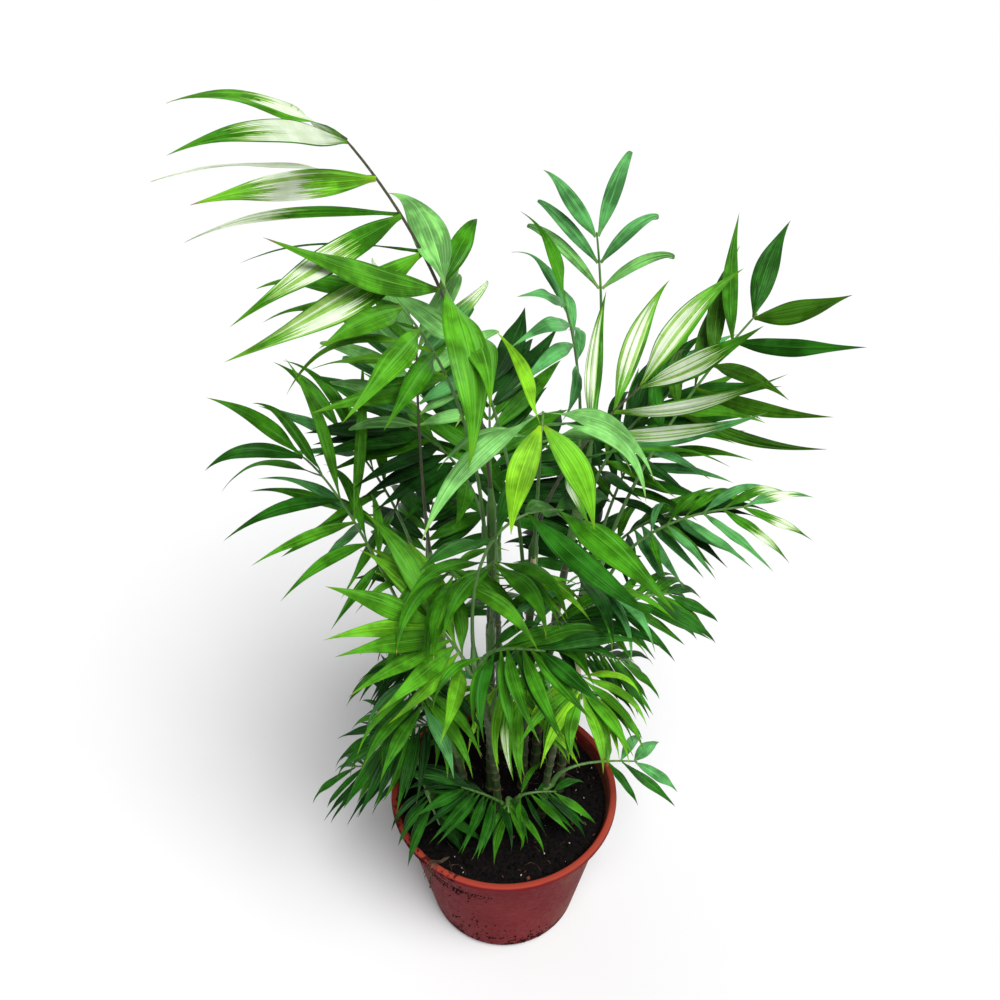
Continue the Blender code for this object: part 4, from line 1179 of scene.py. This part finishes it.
def leafSheet(name, leaflet, rng):  # gives the middle surface, the way up and the half thickness at (along, across)
    look = leafLook
    own = (leaflet.pair, leaflet.side) in ownLeaflets.get(name, {})
    hooked = name in look["hooked"]
    least, most = look["hook"] if hooked else look["ownBend"] if own else look["bend"]
    bend, sweep = math.radians(rng.uniform(least, most)), math.radians(rng.uniform(*look["sweep"]))
    start = look["hookFrom"] if hooked else look["bendFrom"]
    at, flat, above = bentLine(leaflet, bend, start, sweep * (look["ownSweep"] if own else 1.0))
    turnToLight(at, flat, above, own)
    key = (name, leaflet.pair, leaflet.side)
    slimmer = look["slimmer"]
    broad = leaflet.halfWidth * slimmer.get(key, slimmer.get(name, slimmer[name.split("_")[0]]))
    phase, beat = rng.uniform(0, 6.28), rng.uniform(1.4, 2.6)  # of the waves along its edges
    bow = leaflet.length * look["bow"] * rng.uniform(0.3, 1.6)
    roof = math.tan(math.radians(look["roof"] * rng.uniform(0.4, 1.5)))

    def sheet(s, c):
        s, c = np.broadcast_arrays(np.asarray(s, float), np.asarray(c, float))
        near = np.clip(s, 0, 1)
        late = ((near - look["taperFrom"]).clip(0) / (1 - look["taperFrom"])) ** 2
        swell = np.sin(math.pi * near ** look["widest"]).clip(0) ** look["fullness"] * broad
        foot = leaflet.seatHalf * look["foot"] * (1 - near / look["footEnd"]).clip(0)
        wide = np.sqrt((swell * (1 - look["taper"] * late * (3 - 2 * late))) ** 2 + foot**2)
        middle, across, way = lerpRows(at, near), lerpRows(flat, near), lerpRows(above, near)
        sides = wide * c - bow * np.sin(math.pi * near)
        rise = wide * roof * (0.45 - np.abs(c) ** 1.3) * (1 - 0.5 * near)
        rise = rise + look["pleat"] * np.cos(c * math.pi * 3) * (1 - c**2) * np.sin(math.pi * near)
        rise = rise + look["wave"] * np.sin(near * 6.28 * beat + phase + c) * c**2 * np.sin(math.pi * near)
        half = look["thick"] / 2 * np.sqrt((1 - c**2).clip(0)) * (1 - 0.6 * near)
        return middle + across * sides[..., None] + way * rise[..., None], way, half

    return sheet


def addLeaf(heap, sheet, side):  # a closed blade: upper and lower face share its edge and tip
    look = leafLook
    rows, columns = look["rows"], look["columns"]
    s = (np.linspace(0, 1, rows + 1)[:-1, None]) ** 1.02
    c = np.linspace(-1, 1, columns + 1)[None, :]
    middle, way, half = sheet(s, c)
    upper = (middle + way * half[..., None]).reshape(-1, 3)
    lower = (middle - way * half[..., None])[:, 1:-1].reshape(-1, 3)
    tip = sheet(1.0, 0.0)[0].reshape(1, 3)
    maps = np.stack(np.broadcast_arrays(c / 2 + 0.5, s), axis=2)
    width = columns + 1
    top = np.arange(rows * width).reshape(rows, width)
    under = top.copy()
    under[:, 1:-1] = rows * width + np.arange(rows * (columns - 1)).reshape(rows, columns - 1)
    end = len(upper) + len(lower)

    def point(grid):
        return np.stack([grid[-1, :-1], np.full(columns, end), grid[-1, 1:]], axis=1)

    foot = np.stack([top[0, 1:-2], top[0, 2:-1], under[0, 2:-1], under[0, 1:-2]], axis=1)
    corners = np.array([[top[0, 0], top[0, 1], under[0, 1]], [top[0, -2], top[0, -1], under[0, -2]]])
    faces = [gridFaces(top), point(top), gridFaces(under)[:, ::-1], point(under)[:, ::-1], foot, corners]
    if side < 0:
        faces = [row[:, ::-1] for row in faces]
    allMaps = np.concatenate([maps.reshape(-1, 2), maps[:, 1:-1].reshape(-1, 2), [[0.5, 1.0]]])
    heapUp(heap, np.concatenate([upper, lower, tip]), faces, allMaps)


def addPatch(heap, sheet, side, low, high, left, right, lift, pointed=True):
    # a thin closed skin over both faces of a leaf, from low to high along it and left to right across it
    rows = max(4, round((high - low) * 26))
    t = np.linspace(0, 1, rows + 1)
    s = low + (high - low) * t
    taper = np.sin(math.pi * t).clip(0) ** 0.45 * 0.92 + 0.08 if pointed else np.ones(rows + 1)
    mid, reach = (left + right) / 2, (right - left) / 2
    c = mid + reach * taper[:, None] * np.array([-1.0, 0.0, 1.0])[None, :]
    middle, way, half = sheet(s[:, None], c)
    out = way * (half + lift)[..., None]
    points = np.concatenate([(middle + out).reshape(-1, 3), (middle - out).reshape(-1, 3)])
    grid = np.arange((rows + 1) * 3).reshape(rows + 1, 3)
    under = grid + grid.size

    def strip(upperEdge, lowerEdge):
        return np.stack([upperEdge[:-1], lowerEdge[:-1], lowerEdge[1:], upperEdge[1:]], axis=1)

    faces = [gridFaces(grid), gridFaces(under)[:, ::-1], strip(grid[:, 0], under[:, 0]),
             strip(grid[:, 2], under[:, 2])[:, ::-1], strip(grid[0], under[0])[:, ::-1],
             strip(grid[-1], under[-1])]
    if side < 0:
        faces = [row[:, ::-1] for row in faces]
    maps = np.stack(np.broadcast_arrays(c / 2 + 0.5, s[:, None]), axis=2).reshape(-1, 2)
    heapUp(heap, points, faces, np.concatenate([maps, maps]))


leafPaint = {
    "mottle": 48, "veins": (30.0, 90.0, 2.2, 60.0), "streaks": (7.0, 50.0, 1.6, 30.0),  # across and along
    "ribs": 11, "midrib": (0.026, 0.006), "edge": (0.40, 0.50),
    "dark": 0.46, "light": 1.7, "veinDark": 0.5,  # shares of the base colour
}


def longCloud(tree, place, axes, sizes, detail, rough):  # drawn out along the blade
    across, along = place
    lane = maths(tree, "MULTIPLY_ADD", across, sizes[0], maths(tree, "MULTIPLY", axes["X"], sizes[1]))
    reach = maths(tree, "MULTIPLY_ADD", along, sizes[2], maths(tree, "MULTIPLY", axes["Y"], sizes[3]))
    return cloud(tree, node(tree, "CombineXYZ", {0: lane, 1: reach, 2: axes["Z"]}).outputs[0], 1.0, detail, rough)


def leafFinish(name, tint, gloss):
    paint = leafPaint
    finish, tree, shader = newFinish(name, roughness=0.40, specular=gloss)
    place = node(tree, "TexCoord").outputs
    flat = node(tree, "SeparateXYZ", {0: place["UV"]}).outputs
    across, along = flat["X"], flat["Y"]
    axes = node(tree, "SeparateXYZ", {0: place["Object"]}).outputs
    wide = cloud(tree, place["Object"], paint["mottle"], 3, 0.6)
    veins = longCloud(tree, (across, along), axes, paint["veins"], 3, 0.6)
    ribs = maths(tree, "SINE", maths(tree, "MULTIPLY", across, 6.2832 * paint["ribs"]))
    middle = maths(tree, "ABSOLUTE", maths(tree, "SUBTRACT", across, 0.5))
    midrib = spread(tree, middle, *paint["midrib"])
    dark, light = [c * paint["dark"] for c in tint], [min(1, c * paint["light"] + 0.006) for c in tint]
    # mottle of darker and lighter green: partly the leaf's own uneven tone, partly painted highlight patches at its
    # lighter end
    colour = mixed(tree, spread(tree, wide, 0.36, 0.66), dark, light)
    colour = mixed(tree, spread(tree, veins, 0.34, 0.70, 0.0, 0.75), colour, [c * paint["veinDark"] for c in tint])
    colour = mixed(tree, spread(tree, ribs, 0.2, 1.0, 0.0, 0.14), colour, light)
    # pale streaks, as where the light glances off
    glints = longCloud(tree, (across, along), axes, paint["streaks"], 2, 0.5)
    pale = [tint[0] * 1.4 + 0.045, min(1, tint[1] * 1.5 + 0.05), tint[2] + 0.045]
    colour = mixed(tree, spread(tree, glints, 0.56, 0.70, 0.0, 0.55), colour, pale)
    # darker edges and a paler midrib
    colour = mixed(tree, spread(tree, middle, *paint["edge"], 0.0, 0.55), colour, dark)
    paler = [min(1, c * paint["light"] + 0.02) for c in tint]
    colour = mixed(tree, maths(tree, "MULTIPLY", midrib, 0.45), colour, paler)
    # the tip and the foot are yellower
    ends = maths(tree, "MAXIMUM", spread(tree, along, 0.80, 1.0, 0, 0.5), spread(tree, along, 0.12, 0.0, 0, 0.4))
    colour = mixed(tree, ends, colour, (tint[0] * 2.4 + 0.01, tint[1] * 1.35, tint[2]))
    colourTo(tree, shader, colour)
    tree.links.new(spread(tree, veins, 0.3, 0.7, 0.28, 0.44), shader.inputs["Roughness"])
    relief = maths(tree, "ADD", maths(tree, "MULTIPLY", ribs, 0.45), maths(tree, "MULTIPLY", midrib, -0.8))
    bumpTo(tree, shader, maths(tree, "ADD", relief, veins), 0.5, 0.28)
    return finish


def plainLeafFinish(name, first, second, roughness):  # for the pale streaks of painted glare and the dried tips of a blade
    finish, tree, shader = newFinish(name, roughness=roughness, specular=0.4)
    place = node(tree, "TexCoord").outputs["Object"]
    colour = mixed(tree, spread(tree, cloud(tree, place, 90, 3), 0.3, 0.7), first, second)
    colourTo(tree, shader, colour)
    bumpTo(tree, shader, cloud(tree, place, 500, 2), 0.2, 0.1)
    return finish


# Pale cream streaks, painted glare of the light from above: for each frond, (pair, side): from and to along the
# leaflet, left and right across it, cover

paleZones = {
    "upper_frond_1": {
        (4, 1): (0.12, 0.50, -1.0, 0.6, 0.85), (4, -1): (0.05, 0.62, -0.9, 0.9, 0.9),
        (3, 1): (0.10, 0.97, -1.0, 1.0, 1.0), (3, -1): (0.38, 0.62, -1.0, 1.0, 0.8),
        (2, 1): (0.50, 0.97, -1.0, 1.0, 1.0), (2, -1): (0.42, 0.70, -0.9, 0.9, 0.6),
        (1, -1): (0.42, 0.74, -0.9, 0.9, 0.55),
    },
    "upper_frond_5": {
        (3, 1): (0.12, 0.62, -0.8, 0.95, 0.7), (3, -1): (0.10, 0.66, -0.9, 0.7, 0.7),
        (2, 1): (0.15, 0.68, -0.9, 0.75, 0.7), (2, -1): (0.18, 0.72, -0.9, 0.7, 0.65),
        (1, 1): (0.25, 0.66, -0.5, 0.95, 0.7), (1, -1): (0.20, 0.74, -0.95, 0.4, 0.7),
        (0, 1): (0.40, 0.72, -0.95, 0.5, 0.7),
    },
    "middle_frond_3": {
        (5, 1): (0.45, 0.70, -1.0, 1.0, 0.8), (5, -1): (0.42, 0.70, -1.0, 1.0, 0.85),
        (4, 1): (0.50, 0.72, -1.0, 1.0, 0.7), (4, -1): (0.50, 0.72, -1.0, 1.0, 0.7),
    },
    "middle_frond_20": {(4, 1): (0.45, 0.90, -1.0, 0.4, 0.4)},
    "upper_frond_3": {(3, 1): (0.60, 0.95, -0.9, 0.9, 0.5), (4, -1): (0.65, 0.97, -0.8, 0.9, 0.5)},
}
# cream and between paint glare as pale streaks over a lighter green fringe; dried is the dry tips
paleLook = {
    "strip": 0.13, "ragged": 0.07, "creamLift": 0.09, "edgeLift": 0.05,
    "cream": (0.50, 0.60, 0.40), "creamLight": (0.62, 0.70, 0.54),
    "between": (0.16, 0.34, 0.04), "betweenLight": (0.30, 0.48, 0.12),
    "dried": (0.13, 0.085, 0.035), "driedLight": (0.30, 0.21, 0.10),
}


# lays painted glare on a leaflet as pale strips over a lighter green fringe
def addPaleStreaks(cream, between, sheet, leaflet, zone, rng):
    low, high, left, right, cover = zone
    look = paleLook
    count = max(2, round((right - left) / look["strip"]))
    edges = np.linspace(left, right, count + 1)
    for k in range(count):
        ragged = look["ragged"]
        a = low + rng.uniform(-1, 1) * ragged
        b = high + rng.uniform(-1, 1) * ragged
        a, b = max(a, 0.02), min(b, 0.985)
        mid, reach = (edges[k] + edges[k + 1]) / 2, (edges[k + 1] - edges[k]) / 2
        addPatch(between, sheet, leaflet.side, max(a - 0.06, 0.01), min(b + 0.07, 0.99),
                 mid - reach * 1.08, mid + reach * 1.08, look["edgeLift"])
        if rng.random() < cover:
            addPatch(cream, sheet, leaflet.side, a, b, mid - reach * 1.04, mid + reach * 1.04, look["creamLift"])


# Rods, sheaths and all the leaflets together

rodLook = {
    "sides": 10, "rings": 34, "footSwell": 0.6, "footLong": 7, "slim": 0.86,
    "sheath": 24, "sheathSides": 12, "sheathRings": 8, "sheathOut": 0.25, "sheathSwell": 0.55,
    "sheathEnd": ((1.5, 1.75), (5, 1.45), (9, 1.25), (14, 1.08)),  # how far up the rod, and how much thicker
    "stalk": (0.045, 0.130, 0.022), "stalkLight": (0.10, 0.22, 0.045),
    "darkRib": (0.035, 0.038, 0.018), "darkRibLight": (0.075, 0.075, 0.035),
    "straw": (0.46, 0.40, 0.20), "strawLight": (0.62, 0.56, 0.34),
    "darkRibs": ("upper_frond_1", "upper_frond_3", "upper_frond_5"),
    "strawSheaths": ("upper_frond_4", "middle_frond_18", "middle_frond_6"),
}


def stalkFinish(name, first, second):
    finish, tree, shader = newFinish(name, roughness=0.42, specular=0.45)
    place = node(tree, "TexCoord").outputs["Object"]
    fibres = stretchedCloud(tree, place, (500, 500, 40), 3)
    colour = mixed(tree, spread(tree, fibres, 0.3, 0.7), first, second)
    colour = mixed(tree, spread(tree, cloud(tree, place, 40, 2), 0.45, 0.7, 0, 0.4), colour, first)
    colourTo(tree, shader, colour)
    bumpTo(tree, shader, fibres, 0.4, 0.2)
    return finish


def addRod(heap, row, ends):
    look = rodLook
    long = rodLengths(ends)[1][-1]
    shares = np.linspace(0, 1, look["rings"])
    middles = np.array([rodFrame(ends, share, row.roll)[0] for share in shares])
    radii = []
    for share in shares:
        swell = 1 + look["footSwell"] * math.exp(-share * long / look["footLong"])
        end = 1 if share < 1 else 0.6
        radii.append(rodHalf(share) * look["slim"] * swell * end)
    tube(heap, middles, radii, look["sides"])


def addSheath(heap, row, ends):  # the petiole's foot wraps round its cane
    look = rodLook
    stem = caneRows[row.cane]
    long = stem.height - soilTop
    low = max(row.at - look["sheath"] / long, 0.01)
    shares = np.linspace(low, row.at, look["sheathRings"])
    rod = rodLengths(ends)[1][-1]
    upper = np.array([rodFrame(ends, away / rod, row.roll)[0] for away, _ in look["sheathEnd"]])
    middles = np.concatenate([onCane(caneLine(stem), shares), upper])
    last = look["sheathRings"] - 1
    radii = [caneRadius(stem, share) + look["sheathOut"] + look["sheathSwell"] * k / last
             for k, share in enumerate(shares)]
    radii += [rodHalf(0) * swell for _, swell in look["sheathEnd"]]
    tube(heap, middles, radii, look["sheathSides"])


def buildFronds():
    look = rodLook
    rods = {kind: newHeap() for kind in ("stalk", "darkRib", "straw")}
    leaves = {tint: [newHeap()] for tint in leafTints}
    cream, between, dried = newHeap(), newHeap(), newHeap()
    count = 0
    for name, (ends, kept) in growLeaflets().items():
        row = frondRows[name]
        addRod(rods["darkRib" if name in look["darkRibs"] else "stalk"], row, ends)
        addSheath(rods["straw" if name in look["strawSheaths"] else "stalk"], row, ends)
        rng = random.Random("look of " + name)
        tints = frondTints.get(name, frondTints["others"]).split()
        if name not in leafLook["unfilled"]:
            kept = kept + leafletsBetween(name, ends, kept)
        for leaflet in kept:
            sheet = leafSheet(name, leaflet, rng)
            heaps = leaves[rng.choice(tints)]
            if heaps[-1]["triangles"] > leafLook["mostInPiece"]:
                heaps.append(newHeap())
            addLeaf(heaps[-1], sheet, leaflet.side)
            # pale streaks of painted glare
            zone = paleZones.get(name, {}).get((leaflet.pair, leaflet.side))
            if zone:
                addPaleStreaks(cream, between, sheet, leaflet, zone, rng)
            if rng.random() < leafLook["brownTips"]:
                start = rng.uniform(*leafLook["brownFrom"])
                addPatch(dried, sheet, leaflet.side, start, 0.997, -1.05, 1.05, paleLook["edgeLift"], pointed=False)
            count += 1
    frondNodes = list(frondRows)
    for kind, name, nodes in (("stalk", "frondStalks", frondNodes), ("darkRib", "darkRibs", ()),
                              ("straw", "strawSheaths", ())):
        pieceFrom(name, rods[kind], stalkFinish(kind + "Skin", look[kind], look[kind + "Light"]), "frond", nodes)
    for tint, heaps in leaves.items():
        finish = leafFinish(tint + "GreenLeaf", *leafTints[tint])
        for number, heap in enumerate(heaps, 1):
            pieceFrom(f"{tint}GreenLeaflets{number}", heap, finish, "frond", frondNodes)
    # the painted glare streaks, their lighter green fringe, and the dry tips
    for kind, name, heap, roughness in (("cream", "bleachedStreaks", cream, 0.45),
                                        ("between", "yellowEdges", between, 0.45), ("dried", "dryTips", dried, 0.7)):
        finish = plainLeafFinish(kind + "Leaf", paleLook[kind], paleLook[kind + "Light"], roughness)
        pieceFrom(name, heap, finish, "frond")
    print("leaflets:", count)


bpy.context.scene.view_settings.view_transform = "Standard"
setCamera()
setLights()
setFloor()
buildPot()
soilFinish = soilCrumbFinish("pottingSoil", soilLook["dark"], soilLook["brown"])
buildSoil(soilFinish)
buildHangingRoots(buildCrumbs(soilFinish))
buildDirt(soilFinish)
buildCanes()
buildFronds()

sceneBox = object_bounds()
boxes = [[[float(v) for v in corner] for corner in box] for box in (cadBox, sceneBox)]
print("boxes:", boxes)
